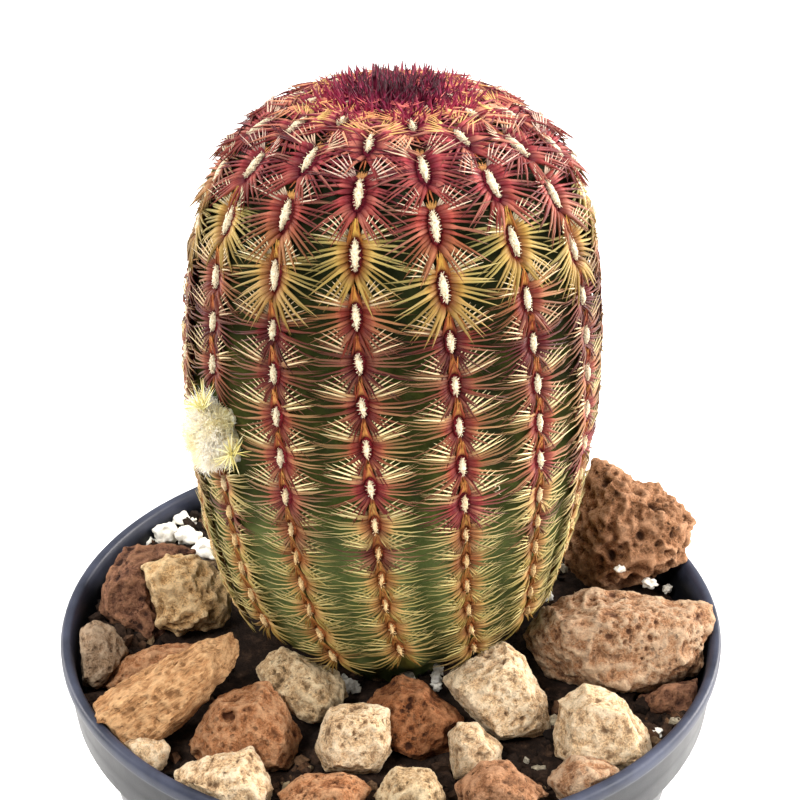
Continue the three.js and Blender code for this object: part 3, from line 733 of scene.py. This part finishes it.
def reckoned(operation, *values):
    return step(tree_of(*values), "Math", dict(enumerate(values)), operation=operation).outputs[0]


spine_finish, tree, shader = start_finish("banded_spines", 0.5, 0.15)
season = painted(tree, "season")
along = painted(tree, "along")
lift = painted(tree, "lift")
chance = painted(tree, "chance")
wander = reckoned("SUBTRACT", grain(tree, 60, 2), 0.5)
place = reckoned("MULTIPLY_ADD", wander, 0.018, season)


# Colours from the crown down to the soil, each marked by its distance from the stem's tip in mm
def season_ramp(*bands):
    return shades(place, *[(s / SEASONS, *colour) for s, *colour in bands])


# Along each spine the collar turns to a lighter middle, the spine's own colour with a painted highlight, then
# to the shaft and the tip
collar = season_ramp(
    (0, 96, 16, 44), (5, 132, 34, 66), (9, 160, 40, 84), (15, 154, 42, 76), (20, 160, 46, 70),
    (27, 156, 50, 64), (34, 152, 54, 60), (37, 160, 74, 58), (39, 180, 146, 72), (46, 170, 130, 62),
    (49, 160, 84, 56), (53, 124, 38, 40), (60, 98, 22, 34), (66, 122, 46, 42), (70, 136, 58, 48),
    (78, 144, 62, 52), (84, 134, 48, 50), (89, 128, 34, 50), (91, 166, 124, 78), (95, 152, 108, 66),
    (98, 92, 40, 38), (102, 140, 90, 52), (106, 158, 128, 76), (128, 152, 120, 72))
middle_colour_and_highlight = season_ramp(
    (8, 190, 72, 112), (14, 196, 88, 104), (20, 196, 92, 94), (27, 196, 92, 94), (34, 192, 90, 88),
    (37.5, 188, 108, 80), (39.5, 196, 172, 104), (47, 190, 158, 92), (51, 180, 118, 84), (55, 132, 58, 50),
    (60, 104, 36, 40), (66, 140, 82, 62), (77, 162, 104, 76), (84, 158, 96, 74), (89, 138, 56, 62),
    (92, 188, 162, 112), (98, 116, 68, 54), (104, 162, 138, 88), (128, 158, 134, 86))
spine_colour = mixed(rescaled(along, 0.42, 0.6, 0, 0.7), collar, middle_colour_and_highlight)
# From 20 to 34 mm the shaft colours are a little darker, painted shade between the crowded spines
shaft = season_ramp(
    (0, 66, 8, 30), (5, 88, 14, 42), (9, 146, 40, 74), (15, 136, 50, 72), (20, 122, 44, 58),
    (27, 108, 38, 50), (34, 104, 40, 48), (37, 118, 62, 50), (39, 150, 142, 88), (46, 152, 140, 84),
    (49, 154, 124, 80), (54, 112, 60, 46), (60, 78, 26, 32), (66, 112, 74, 56), (70, 122, 84, 62),
    (77, 144, 118, 86), (82, 136, 102, 76), (86, 128, 84, 66), (89, 104, 46, 52), (91, 176, 166, 120),
    (95, 158, 148, 104), (98, 98, 62, 50), (102, 140, 130, 82), (106, 148, 144, 92), (118, 144, 136, 86),
    (128, 120, 100, 62))
tip = season_ramp(
    (0, 34, 4, 18), (6, 46, 8, 24), (11, 104, 32, 52), (15, 96, 34, 46), (27, 70, 24, 32), (34, 72, 30, 32),
    (39, 152, 148, 104), (46, 156, 146, 98), (50, 130, 94, 66), (54, 70, 34, 32), (64, 76, 38, 36),
    (74, 120, 88, 66), (84, 96, 54, 48), (89, 72, 30, 42), (91, 172, 166, 128), (95, 156, 148, 110),
    (98, 84, 52, 44), (104, 150, 144, 100), (128, 142, 132, 92))
spine_colour = mixed(rescaled(along, 0.62, 0.78), spine_colour, shaft)
spine_colour = mixed(rescaled(along, 0.82, 1.0), spine_colour, tip)
# The upper spines are paler, the lowest ones keep the colour of the season before
upper_zone = colour_ramp(season, [(0.13, (0, 0, 0, 1)), (0.18, (0.36, 0.36, 0.36, 1)),
                                  (0.31, (0.36, 0.36, 0.36, 1)), (0.375, (0, 0, 0, 1))])
raised = reckoned("SUBTRACT", lift, upper_zone)
pale = season_ramp(
    (9, 188, 92, 104), (14, 204, 128, 114), (22, 194, 144, 100), (27, 176, 108, 88), (34, 172, 112, 86),
    (39, 184, 172, 112), (47, 182, 164, 106), (54, 172, 138, 94), (60, 144, 108, 80), (66, 176, 152, 116),
    (90, 184, 166, 124), (98, 168, 158, 108), (128, 158, 148, 100))
pale_share = reckoned("MULTIPLY", rescaled(raised, 0.02, 0.36, 0, 0.9), rescaled(season, 0.05, 0.11))
pale_share = reckoned("MULTIPLY", pale_share, rescaled(along, 0.15, 0.5, 0.3, 1))
spine_colour = mixed(pale_share, spine_colour, pale)
low = season_ramp(
    (9, 146, 48, 76), (16, 144, 56, 56), (20, 138, 56, 52), (30, 142, 62, 50), (34, 140, 70, 50),
    (38, 162, 132, 70), (46, 152, 122, 64), (49, 120, 56, 46), (55, 76, 30, 30), (64, 104, 48, 38),
    (74, 122, 64, 50), (84, 116, 50, 44), (89, 108, 36, 46), (92, 172, 152, 104), (97, 90, 46, 40),
    (103, 158, 144, 84), (128, 154, 138, 80))
spine_colour = mixed(rescaled(lift, -0.3, -0.72, 0, 0.8), spine_colour, low)
# Some spines are lighter by chance, and some of the crown's are peach
light_share = reckoned("MULTIPLY", rescaled(chance, 0.5, 1.0, 0, 0.18), rescaled(season, 0.06, 0.11))
spine_colour = mixed(light_share, spine_colour, tint(232, 198, 160))
peach_band = colour_ramp(season, [(0.06, (0, 0, 0, 1)), (0.08, (1, 1, 1, 1)), (0.13, (1, 1, 1, 1)),
                                  (0.17, (0, 0, 0, 1))])
peach_share = reckoned("MULTIPLY", rescaled(chance, 0.45, 0.65, 0, 0.5), peach_band)
spine_colour = mixed(peach_share, spine_colour, tint(238, 184, 138))
# The tents, the fans and the spines below the pads have colours of their own
tent = season_ramp(
    (6, 176, 80, 84), (11, 206, 116, 104), (16, 214, 160, 94), (24, 206, 160, 100), (36, 206, 164, 92),
    (41, 208, 168, 84), (54, 200, 146, 72), (60, 186, 116, 62), (66, 200, 144, 86), (88, 198, 140, 80),
    (92, 190, 154, 92), (98, 170, 118, 66), (106, 178, 138, 78), (128, 170, 130, 74))
tent_edge = season_ramp(
    (6, 170, 80, 84), (20, 204, 128, 84), (34, 190, 118, 68), (41, 184, 112, 48), (54, 160, 74, 38),
    (60, 132, 44, 30), (66, 156, 60, 36), (88, 150, 54, 38), (94, 172, 112, 60), (98, 138, 72, 42),
    (106, 162, 102, 54), (128, 160, 100, 52))
tent = mixed(rescaled(chance, 0.12, 0.62), tent_edge, tent)
spine_colour = mixed(rescaled(lift, 1.1, 1.15, 0, 0.95), spine_colour, tent)
fine = season_ramp(
    (8, 206, 100, 108), (13, 220, 136, 122), (16.5, 230, 190, 114), (20, 236, 208, 128),
    (25, 240, 224, 184), (30, 242, 234, 212), (88, 240, 230, 196), (97, 200, 190, 144),
    (128, 180, 168, 118))
spine_colour = mixed(rescaled(lift, 1.4, 1.5), spine_colour, fine)
low_spine = season_ramp(
    (6, 96, 20, 40), (12, 160, 56, 72), (22, 170, 76, 60), (34, 172, 100, 56), (40, 176, 126, 60),
    (46, 168, 112, 50), (51, 140, 56, 42), (56, 92, 28, 28), (66, 112, 36, 30), (88, 110, 34, 34),
    (92, 158, 122, 76), (98, 96, 40, 34), (104, 164, 124, 68), (128, 166, 132, 72))
low_spine = mixed(rescaled(chance, 0.5, 1.0, 0, 0.6), low_spine, tint(190, 130, 72))
spine_colour = mixed(rescaled(lift, -1.2, -1.4), spine_colour, low_spine)
# Every spine is darkest and reddest at its root, its brightness varies by chance, and painted light and shade
# lighten and darken the spines band by band with the season
deep_root = season_ramp(
    (0, 126, 38, 62), (9, 118, 26, 52), (16, 80, 12, 36), (30, 88, 10, 38), (36, 100, 20, 28),
    (42, 112, 44, 26), (50, 104, 28, 28), (56, 78, 14, 26), (78, 100, 20, 32), (90, 98, 20, 36),
    (94, 128, 70, 42), (98, 100, 40, 34), (104, 138, 86, 52), (128, 140, 88, 52))
spine_colour = mixed(rescaled(along, 0.12, 0.5, 1, 0), spine_colour, deep_root)
bright = shades(chance, (0.0, 204, 198, 196), (0.6, 255, 255, 255))
spine_colour = mixed(1.0, spine_colour, bright, "MULTIPLY")
seasonal_light_and_shade = season_ramp(
    (5, 204, 178, 192), (10, 250, 236, 226), (15, 240, 226, 220), (22, 211, 191, 193), (34, 209, 188, 186),
    (39, 223, 219, 200), (47, 220, 217, 198), (52, 211, 194, 174), (62, 200, 180, 162), (76, 230, 224, 196),
    (90, 230, 223, 200), (128, 230, 222, 198))
coat(shader, mixed(1.0, spine_colour, seasonal_light_and_shade, "MULTIPLY"))
for bundle in (crown_tuft, *combs.values()):
    bundle.finish(spine_finish, "cactus_skin")

# Flower bud on the left of the stem: a loose knob of white wool over the scales, soft and curly, with a
# tuft of yellow spines standing out of its top and another low on its right side.
BUD_HALF_WIDTH = 4.7
BUD_HALF_HEIGHT = 6.3
BUD_PROUD = 5.1
bud_right, bud_up, bud_out = crest_frame(BUD_RIB, bud_centre_length)
bud_centre = skin(BUD_RIB, 0, bud_centre_length, 1.4)


def bud_point(across, upward, outward):
    return bud_centre + (bud_right * across + bud_up * upward + bud_out * outward) * MM


def bud_lump(way):
    lobe = max(way.dot(Vector((0.95, -0.22, 0.2))), 0) ** 10
    return 1 + 0.3 * lobe + 0.45 * noise.noise(way * 2.1 + Vector((2, 0, 0))) + 0.2 * noise.noise(way * 5.5)


BUD_UNDER = 0.9
random.seed(5)
bud_build = bmesh.new()
for vert in bmesh.ops.create_icosphere(bud_build, subdivisions=5, radius=1)["verts"]:
    way = vert.co.normalized()
    size = bud_lump(way) + 0.05 * noise.noise(way * 15)
    vert.co = bud_point(way.x * size * BUD_HALF_WIDTH * BUD_UNDER,
                        way.y * size * BUD_HALF_HEIGHT * BUD_UNDER, way.z * size * BUD_PROUD * BUD_UNDER)


def start_wool(name, roughness, specular):
    finish, tree, shader = start_finish(name, roughness, specular)
    shader.inputs["Subsurface Weight"].default_value = 0.4
    shader.inputs["Subsurface Radius"].default_value = (1, 0.9, 0.75)
    shader.inputs["Subsurface Scale"].default_value = 0.002
    yellowish = shades(grain(tree, 190, 3), (0.44, 255, 255, 255), (0.6, 242, 236, 194))
    return finish, tree, shader, yellowish


bud_finish, tree, shader, yellowish = start_wool("bud_wool", 1.0, 0.05)
curls = grain(tree, 900, 6, 0.65, distortion=1.5)
# The low parts of the curls, sunk by the bump, are painted darker and yellower: painted shade in the crevices
# of the wool
woolly = shades(curls, (0.3, 206, 186, 136), (0.45, 240, 228, 194), (0.65, 251, 248, 238))
coat(shader, mixed(1.0, woolly, yellowish, "MULTIPLY"))
raise_surface(shader, (curls, 0.0008, 0.9))
keep_piece("bud_wool", mesh_from("bud_wool", bud_build), bud_finish, "bud_wool", "woolly_bud")

BUD_FIBRES = 2900
BUD_HAIRS = 420
FIBRE_JOINTS = 6
fibres = SpineBundle("bud_fibres")


def jitter(spread):
    return Vector([gauss(0, spread) for axis in range(3)])


def grow_fibre(rise, seat, scatter, curl, radii, lengths=None, level=None):
    way = Vector((gauss(0, 1), gauss(0, 1), abs(gauss(0, rise)))).normalized()
    place = Vector((way.x * BUD_HALF_WIDTH, way.y * BUD_HALF_HEIGHT, way.z * BUD_PROUD))
    place = place * bud_lump(way) * seat
    heading = (way + jitter(scatter)).normalized()
    length = uniform(*lengths) if lengths else 0.5
    points = []
    for joint in range(FIBRE_JOINTS):
        points.append(bud_point(*place))
        heading = (heading + jitter(curl)).normalized()
        place = place + heading * length
    fibres.grow(points, radii, 0.5, 0, random.random() if level is None else level)


# Short curly fibres cover the bud, and longer, straighter hairs of the same wool stand out of them
for index in range(BUD_FIBRES):
    grow_fibre(1, 0.88, 0.55, 0.24, [0.04] * 5 + [0.012])
for index in range(BUD_HAIRS):
    grow_fibre(0.7, 0.9, 0.35, 0.12, (0.045, 0.045, 0.04, 0.034, 0.026, 0.01), (0.42, 0.74), 0.8)
fibre_finish, tree, shader, yellowish = start_wool("bud_fibres", 0.8, 0.2)
chance = painted(tree, "chance")
# Some fibres are by chance darker and warmer: partly the cream of the wool, partly painted shade among the
# curls
white = shades(chance, (0.0, 232, 210, 164), (0.3, 249, 240, 216), (1.0, 253, 250, 244))
coat(shader, mixed(1.0, white, yellowish, "MULTIPLY"))
fibres.finish(fibre_finish, "bud_wool")

# Foot and axis of each tuft in the bud's own frame, then spread in radians, count and longest spine
BUD_TUFTS = (((1.6, 6.4, 3.2), (0.15, 0.85, 0.4), 1.05, 30, 6.2),
             ((7.3, -1.9, 1.1), (0.75, 0.2, 0.5), 1.4, 32, 5.0))
bud_spines = SpineBundle("bud_spines")
for foot, axis, spread, count, longest in BUD_TUFTS:
    middle = Vector(axis).normalized()
    for index in range(count):
        open_angle = spread * math.sqrt(random.random())
        around = Matrix.Rotation(uniform(0, math.tau), 3, middle)
        way = around @ (Matrix.Rotation(open_angle, 3, middle.orthogonal()) @ middle)
        reach = longest * uniform(0.65, 1.0)
        start = Vector(foot) + jitter(0.3)
        points = [bud_point(*(start + way * reach * -joint)) for joint in PLAIN_JOINTS]
        bud_spines.grow(points, girths(0.17), 0.5, 0, random.random())
bud_spine_finish, tree, shader = start_finish("yellow_bud_spines", 0.5, 0.35)
chance = painted(tree, "chance")
along = painted(tree, "along")
yellow = shades(chance, (0.0, 200, 182, 100), (0.5, 222, 212, 140), (1.0, 240, 236, 196))
coat(shader, mixed(rescaled(along, 0.75, 1.0, 0, 0.4), yellow, tint(206, 150, 84)))
bud_spines.finish(bud_spine_finish, "bud_wool")

# Top dressing: broken pieces of lava and pumice laid loose on the soil. Each has its own colours, spacing
# and depth of bubbles and swell of its broken faces; the streaked slab is split along its grain.
STONE_KINDS = {
    "red_scoria": ("lava_red", (62, 38, 26), (140, 94, 64), (176, 128, 92), (204, 158, 122)),
    "rose_scoria": ("lava_rose", (88, 56, 40), (160, 112, 78), (188, 146, 110), (208, 184, 154)),
    "pale_tan": ("lava_tan", (108, 80, 56), (208, 168, 126), (236, 204, 160), (250, 232, 200)),
    "yellow_tan": ("lava_tan", (100, 70, 42), (194, 150, 98), (226, 186, 132), (242, 214, 168)),
    "orange_slab": ("lava_tan", (116, 80, 50), (168, 120, 78), (192, 144, 98), (214, 174, 128)),
    "orange_scoria": ("lava_red", (76, 42, 26), (160, 102, 64), (190, 134, 92), (206, 162, 122)),
    "grey_pumice": ("lava_grey", (92, 72, 50), (172, 140, 100), (206, 174, 132), (236, 216, 178)),
    "dark_scoria": ("lava_dark", (46, 30, 26), (108, 74, 58), (140, 98, 76), (172, 126, 94)),
    "rust_scoria": ("lava_dark", (54, 30, 20), (124, 74, 44), (156, 98, 60), (176, 124, 86)),
    "pink_grey": ("lava_rose", (86, 66, 50), (142, 114, 88), (168, 140, 112), (190, 168, 142)),
}
# For each stone its kind, the spacing and depth of its bubbles, then the swell of its faces and of the
# rough crust, in mm. The first fifteen are seen from close by and have a finer crust.
STONES = (
    ("red_scoria", 3.6, 1.5, 1.6, 1.3), ("rose_scoria", 1.7, 0.6, 1.2, 0.6),
    ("pale_tan", 1.9, 0.55, 0.9, 0.4), ("pale_tan", 1.6, 0.35, 0.9, 0.3), ("pale_tan", 1.6, 0.35, 0.6, 0.3),
    ("rust_scoria", 2.4, 0.7, 1.1, 0.5), ("pale_tan", 1.5, 0.35, 0.7, 0.35),
    ("orange_scoria", 4.2, 1.7, 0.7, 0.35), ("grey_pumice", 1.7, 0.5, 0.9, 0.8),
    ("orange_slab", 1.7, 0.3, 0.7, 0.45), ("orange_scoria", 2.2, 0.5, 0.8, 0.4),
    ("yellow_tan", 3.0, 0.8, 1.1, 0.9), ("dark_scoria", 3.2, 0.6, 1.2, 0.7),
    ("pink_grey", 2.0, 0.5, 0.9, 0.45), ("dark_scoria", 2.2, 0.5, 0.8, 0.4),
    ("pale_tan", 1.8, 0.45, 0.9, 0.4), ("orange_scoria", 2.5, 0.9, 0.8, 0.4),
    ("grey_pumice", 1.7, 0.5, 0.8, 0.5), ("red_scoria", 2.8, 0.9, 0.9, 0.5),
    ("rose_scoria", 1.9, 0.5, 0.8, 0.4), ("pale_tan", 1.7, 0.4, 0.6, 0.3),
    ("yellow_tan", 2.0, 0.5, 0.9, 0.4), ("red_scoria", 2.8, 0.9, 0.9, 0.5),
    ("dark_scoria", 2.4, 0.6, 0.9, 0.4), ("pale_tan", 1.8, 0.45, 0.8, 0.4),
    ("rose_scoria", 2.0, 0.5, 0.8, 0.4),
)
SEEN_STONES = 15


def lava_finish(kind):
    slot, *colours = STONE_KINDS[kind]
    finish, tree, shader = start_finish(kind, 0.95, 0.12)
    dark, base, light, dust_and_highlight = [tint(*colour) for colour in colours]
    place = step(tree, "TexCoord").outputs["Object"]
    stretch = None
    if kind == "orange_slab":
        grain_line = Vector((0.829, 0.26, 0.495)).rotation_difference(Vector((1, 0, 0))).to_euler()
        place = step(tree, "Mapping", {"Vector": place, "Rotation": grain_line}).outputs["Vector"]
        stretch = (0.22, 1, 1)
    broad = grain(tree, 60, 6, 0.65, place, stretch)
    patches = grain(tree, 280, 5, 0.7, place, stretch)
    fine = grain(tree, 1100, 5, 0.75, place, stretch)
    specks = grain(tree, 2600, 3, 0.7, place, stretch)
    body = colour_ramp(broad, [(0.34, base), (0.46, light), (0.54, base), (0.66, dust_and_highlight)])
    blotches = colour_ramp(patches, [(0.34, dark), (0.44, base), (0.55, light), (0.66, dust_and_highlight)])
    speckle = colour_ramp(fine, [(0.36, dark), (0.44, base), (0.54, light), (0.64, dust_and_highlight)])
    colour = mixed(0.5, body, blotches)
    colour = mixed(0.5, colour, speckle)
    sand = shades(specks, (0.36, 150, 140, 132), (0.5, 235, 232, 228), (0.62, 255, 255, 255))
    colour = mixed(0.8, colour, sand, "MULTIPLY")
    # Fine pores, ragged and open in patches, are sunk and darkened with painted shade in their hollows
    ragged = step(tree, "TexNoise", {"Vector": place, "Scale": 900.0}).outputs["Color"]
    bent = step(tree, "VectorMath", {0: ragged, 1: (0.0009, 0.0009, 0.0009), 2: place},
                operation="MULTIPLY_ADD").outputs["Vector"]
    cells = step(tree, "TexVoronoi", {"Vector": bent, "Scale": 820.0, "Randomness": 1.0})
    width = step(tree, "SeparateColor", {"Color": cells.outputs["Color"]}).outputs[0]
    deep = reckoned("MULTIPLY_ADD", width, 0.5, cells.outputs["Distance"])
    pore_share = reckoned("MULTIPLY", rescaled(deep, 0.34, 0.5, 1.0, 0.0),
                          rescaled(patches, 0.44, 0.54, 0.15, 1.0))
    pore_painted_shade = 0.4 if slot == "lava_tan" else 0.8
    colour = mixed(rescaled(pore_share, 0, 1, 0, pore_painted_shade), colour, dark)
    # Pits of the broken stone are painted towards the dark colour, painted shade in the hollows, and raised
    # crags towards the pale colour, dust with a painted highlight
    cavity = painted(tree, "cavity")
    colour = mixed(rescaled(cavity, 0.25, 0.9, 0, 0.9), colour, dark)
    colour = mixed(rescaled(cavity, 0.05, -0.6, 0, 0.5), colour, dust_and_highlight)
    coat(shader, colour)
    raise_surface(shader, (patches, 0.0016, 0.7), (fine, 0.0009, 1.0), (specks, 0.0003, 0.8),
                  (pore_share, -0.0006, 0.8))
    return finish


def even_copy(node_name, voxel):
    build = bmesh.new()
    build.from_mesh(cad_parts[node_name].data)
    bmesh.ops.remove_doubles(build, verts=build.verts, dist=1e-6)
    holder = new_object("voxel_holder", mesh_from("voxel_holder", build))
    remesh = holder.modifiers.new("even faces", "REMESH")
    remesh.mode = "VOXEL"
    remesh.voxel_size = voxel * MM
    build = bmesh.new()
    build.from_mesh(modified_mesh(holder))
    bpy.data.objects.remove(holder)
    return build


def bubbles(place, spacing):
    nearest, centres = noise.voronoi(place / spacing)
    size = 0.22 + 0.3 * abs(noise.cell(centres[0] * 9.7))
    return 1 - eased(nearest[0], size * 0.45, size)


def broken_stone(number, spacing, depth, swell, crust):
    build = even_copy(f"stone_{number:02}", 0.42 if number <= SEEN_STONES else 0.5)
    for times in range(3):
        bmesh.ops.smooth_vert(build, verts=build.verts, factor=0.5, use_axis_x=True, use_axis_y=True,
                              use_axis_z=True)
    build.normal_update()
    cavity_layer = build.verts.layers.float.new("cavity")
    shift = Vector((number * 7.3, 0, 0))
    for vert in build.verts:
        place = vert.co / MM + shift
        broad = noise.noise(place / 8.5) * swell
        crags = (0.35 - abs(noise.noise(place / 4.2 + Vector((9, 0, 0))))) * crust * 1.6
        rough = noise.noise(place / 1.9) * crust * 0.8 + noise.noise(place / 0.9) * 0.2
        open_patch = eased(noise.noise(place / 10 + Vector((0, 40, 0))), -0.3, 0.2)
        pit = bubbles(place, spacing) * (0.25 + 0.75 * open_patch)
        small_pit = bubbles(place + Vector((5, 5, 5)), spacing * 0.45) * open_patch
        sunk = depth * (pit + 0.4 * small_pit)
        vert[cavity_layer] = pit + 0.6 * small_pit - 0.9 * (crags + rough) / max(crust, 0.3)
        vert.co += vert.normal * (broad + crags + rough - sunk - 0.3 * swell) * MM
    return build


stone_finishes = {kind: lava_finish(kind) for kind in STONE_KINDS}
for number, (kind, *shape) in enumerate(STONES, 1):
    name = f"lava_stone_{number:02}"
    stone_mesh = mesh_from(name, broken_stone(number, *shape))
    keep_piece(name, stone_mesh, stone_finishes[kind], STONE_KINDS[kind][0], f"stone_{number:02}")

# Perlite: soft white grains of expanded volcanic glass, puffed like popcorn, lying on the soil behind the
# stones and near the stem.
perlite_finish, tree, shader = start_finish("white_perlite", 0.85, 0.3)
puffs = grain(tree, 700, 5, 0.6)
coat(shader, shades(puffs, (0.26, 190, 178, 154), (0.4, 228, 222, 208), (0.65, 248, 244, 234)))
raise_surface(shader, (puffs, 0.0005, 0.7))
for name in sorted(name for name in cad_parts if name.startswith("perlite_")):
    puff_build = even_copy(name, 0.3)
    puff_build.normal_update()
    for vert in puff_build.verts:
        place = vert.co / MM
        puff = 0.35 - 1.5 * noise.voronoi(place / 2.1)[0][0] ** 2
        vert.co += vert.normal * (0.9 * puff + 0.1 * noise.noise(place / 0.8)) * MM
    piece_name = name.replace("perlite", "perlite_grain")
    keep_piece(piece_name, mesh_from(piece_name, puff_build), perlite_finish, "perlite", name)

# Chips broken from the same grains, caught between the stones, with their places and sizes in mm
PERLITE_CHIPS = (
    (57.4, 13.4, 102.3, 1.5), (50.2, 10.3, 108.2, 0.9), (62.2, 17.0, 98.4, 1.1), (35.1, 16.4, 96.9, 1.5),
    (-8.6, -15.3, 96.0, 1.8), (-9.9, -13.4, 95.9, 1.3), (-7.4, -16.4, 95.9, 1.1), (9.9, -18.6, 102.6, 1.3),
    (9.2, -19.5, 101.2, 1.4), (9.5, -20.3, 99.6, 1.3), (-56.8, 35.0, 98.6, 1.6), (-53.6, 37.6, 99.4, 1.3),
    (-47.4, 41.8, 100.6, 1.4), (53.2, -31.5, 96.5, 1.2), (57.9, 34.0, 97.0, 1.4), (20.4, 53.5, 97.0, 1.6),
)
random.seed(83)
chip_pattern = pattern_mesh(bmesh.ops.create_icosphere, subdivisions=3)
chip_build = bmesh.new()
for x, y, z, size in PERLITE_CHIPS:
    add_lump(chip_build, Vector((x, y, z)) * MM, size * MM, chip_pattern, 0.45)
keep_piece("perlite_chips", mesh_from("perlite_chips", chip_build), perlite_finish, "perlite")

# Studio: a pale seamless floor, broad soft lights from above and both sides, and the camera in front of
# the plant, looking down at it.
PLANT_MIDDLE = (0, 0, 0.14)
floor_build = bmesh.new()
bmesh.ops.create_grid(floor_build, x_segments=8, y_segments=8, size=6)
floor = new_object("floor", mesh_from("floor", floor_build))
floor_finish, tree, shader = start_finish("pale_floor", 0.9, 0.1)
coat(shader, shades(grain(tree, 3, 2), (0.2, 246, 246, 245), (0.8, 250, 250, 249)))
floor.data.materials.append(floor_finish)


def soft_light(name, place, size, power, colour=(1, 1, 1)):
    lamp = bpy.data.lights.new(name, "AREA")
    lamp.shape = "DISK"
    lamp.size = size
    lamp.energy = power
    lamp.color = colour
    holder = new_object(name, lamp)
    holder.location = place
    holder.rotation_euler = (Vector(PLANT_MIDDLE) - Vector(place)).to_track_quat("-Z", "Y").to_euler()


soft_light("key_light", (-0.42, -0.72, 1.0), 0.32, 13.3, (1, 0.985, 0.96))
soft_light("fill_light", (1.0, -0.3, 0.5), 0.7, 17.5, (1, 0.98, 0.96))
soft_light("top_light", (0.0, 0.3, 1.3), 0.9, 10.0)
soft_light("right_rim_light", (1.0, 0.5, 0.5), 0.6, 24.0, (1, 0.95, 0.91))
soft_light("left_rim_light", (-1.0, 0.5, 0.5), 0.6, 12.0, (1, 0.95, 0.91))
world = bpy.data.worlds.new("pale_room")
world.use_nodes = True
sky = world.node_tree.nodes["Background"]
sky.inputs["Color"].default_value = (1, 1, 1, 1)
sky.inputs["Strength"].default_value = 0.66
bpy.context.scene.world = world
bpy.context.scene.view_settings.view_transform = "Standard"

# The lens's focal length in pixels of the 800 pixel frame, and its tilt below the horizon in degrees
FRAME_WIDTH = 800
FOCAL_LENGTH = 1668
LOOKS_DOWN = 27.78
camera_data = bpy.data.cameras.new("camera")
camera_data.sensor_width = 36
camera_data.lens = camera_data.sensor_width * FOCAL_LENGTH / FRAME_WIDTH
camera_data.clip_start = 0.01
camera_data.dof.use_dof = False
camera = new_object("camera", camera_data)
camera.location = (0.0019, -0.2961, 0.3114)
camera.rotation_euler = (math.radians(90 - LOOKS_DOWN), 0, 0)
bpy.context.scene.camera = camera
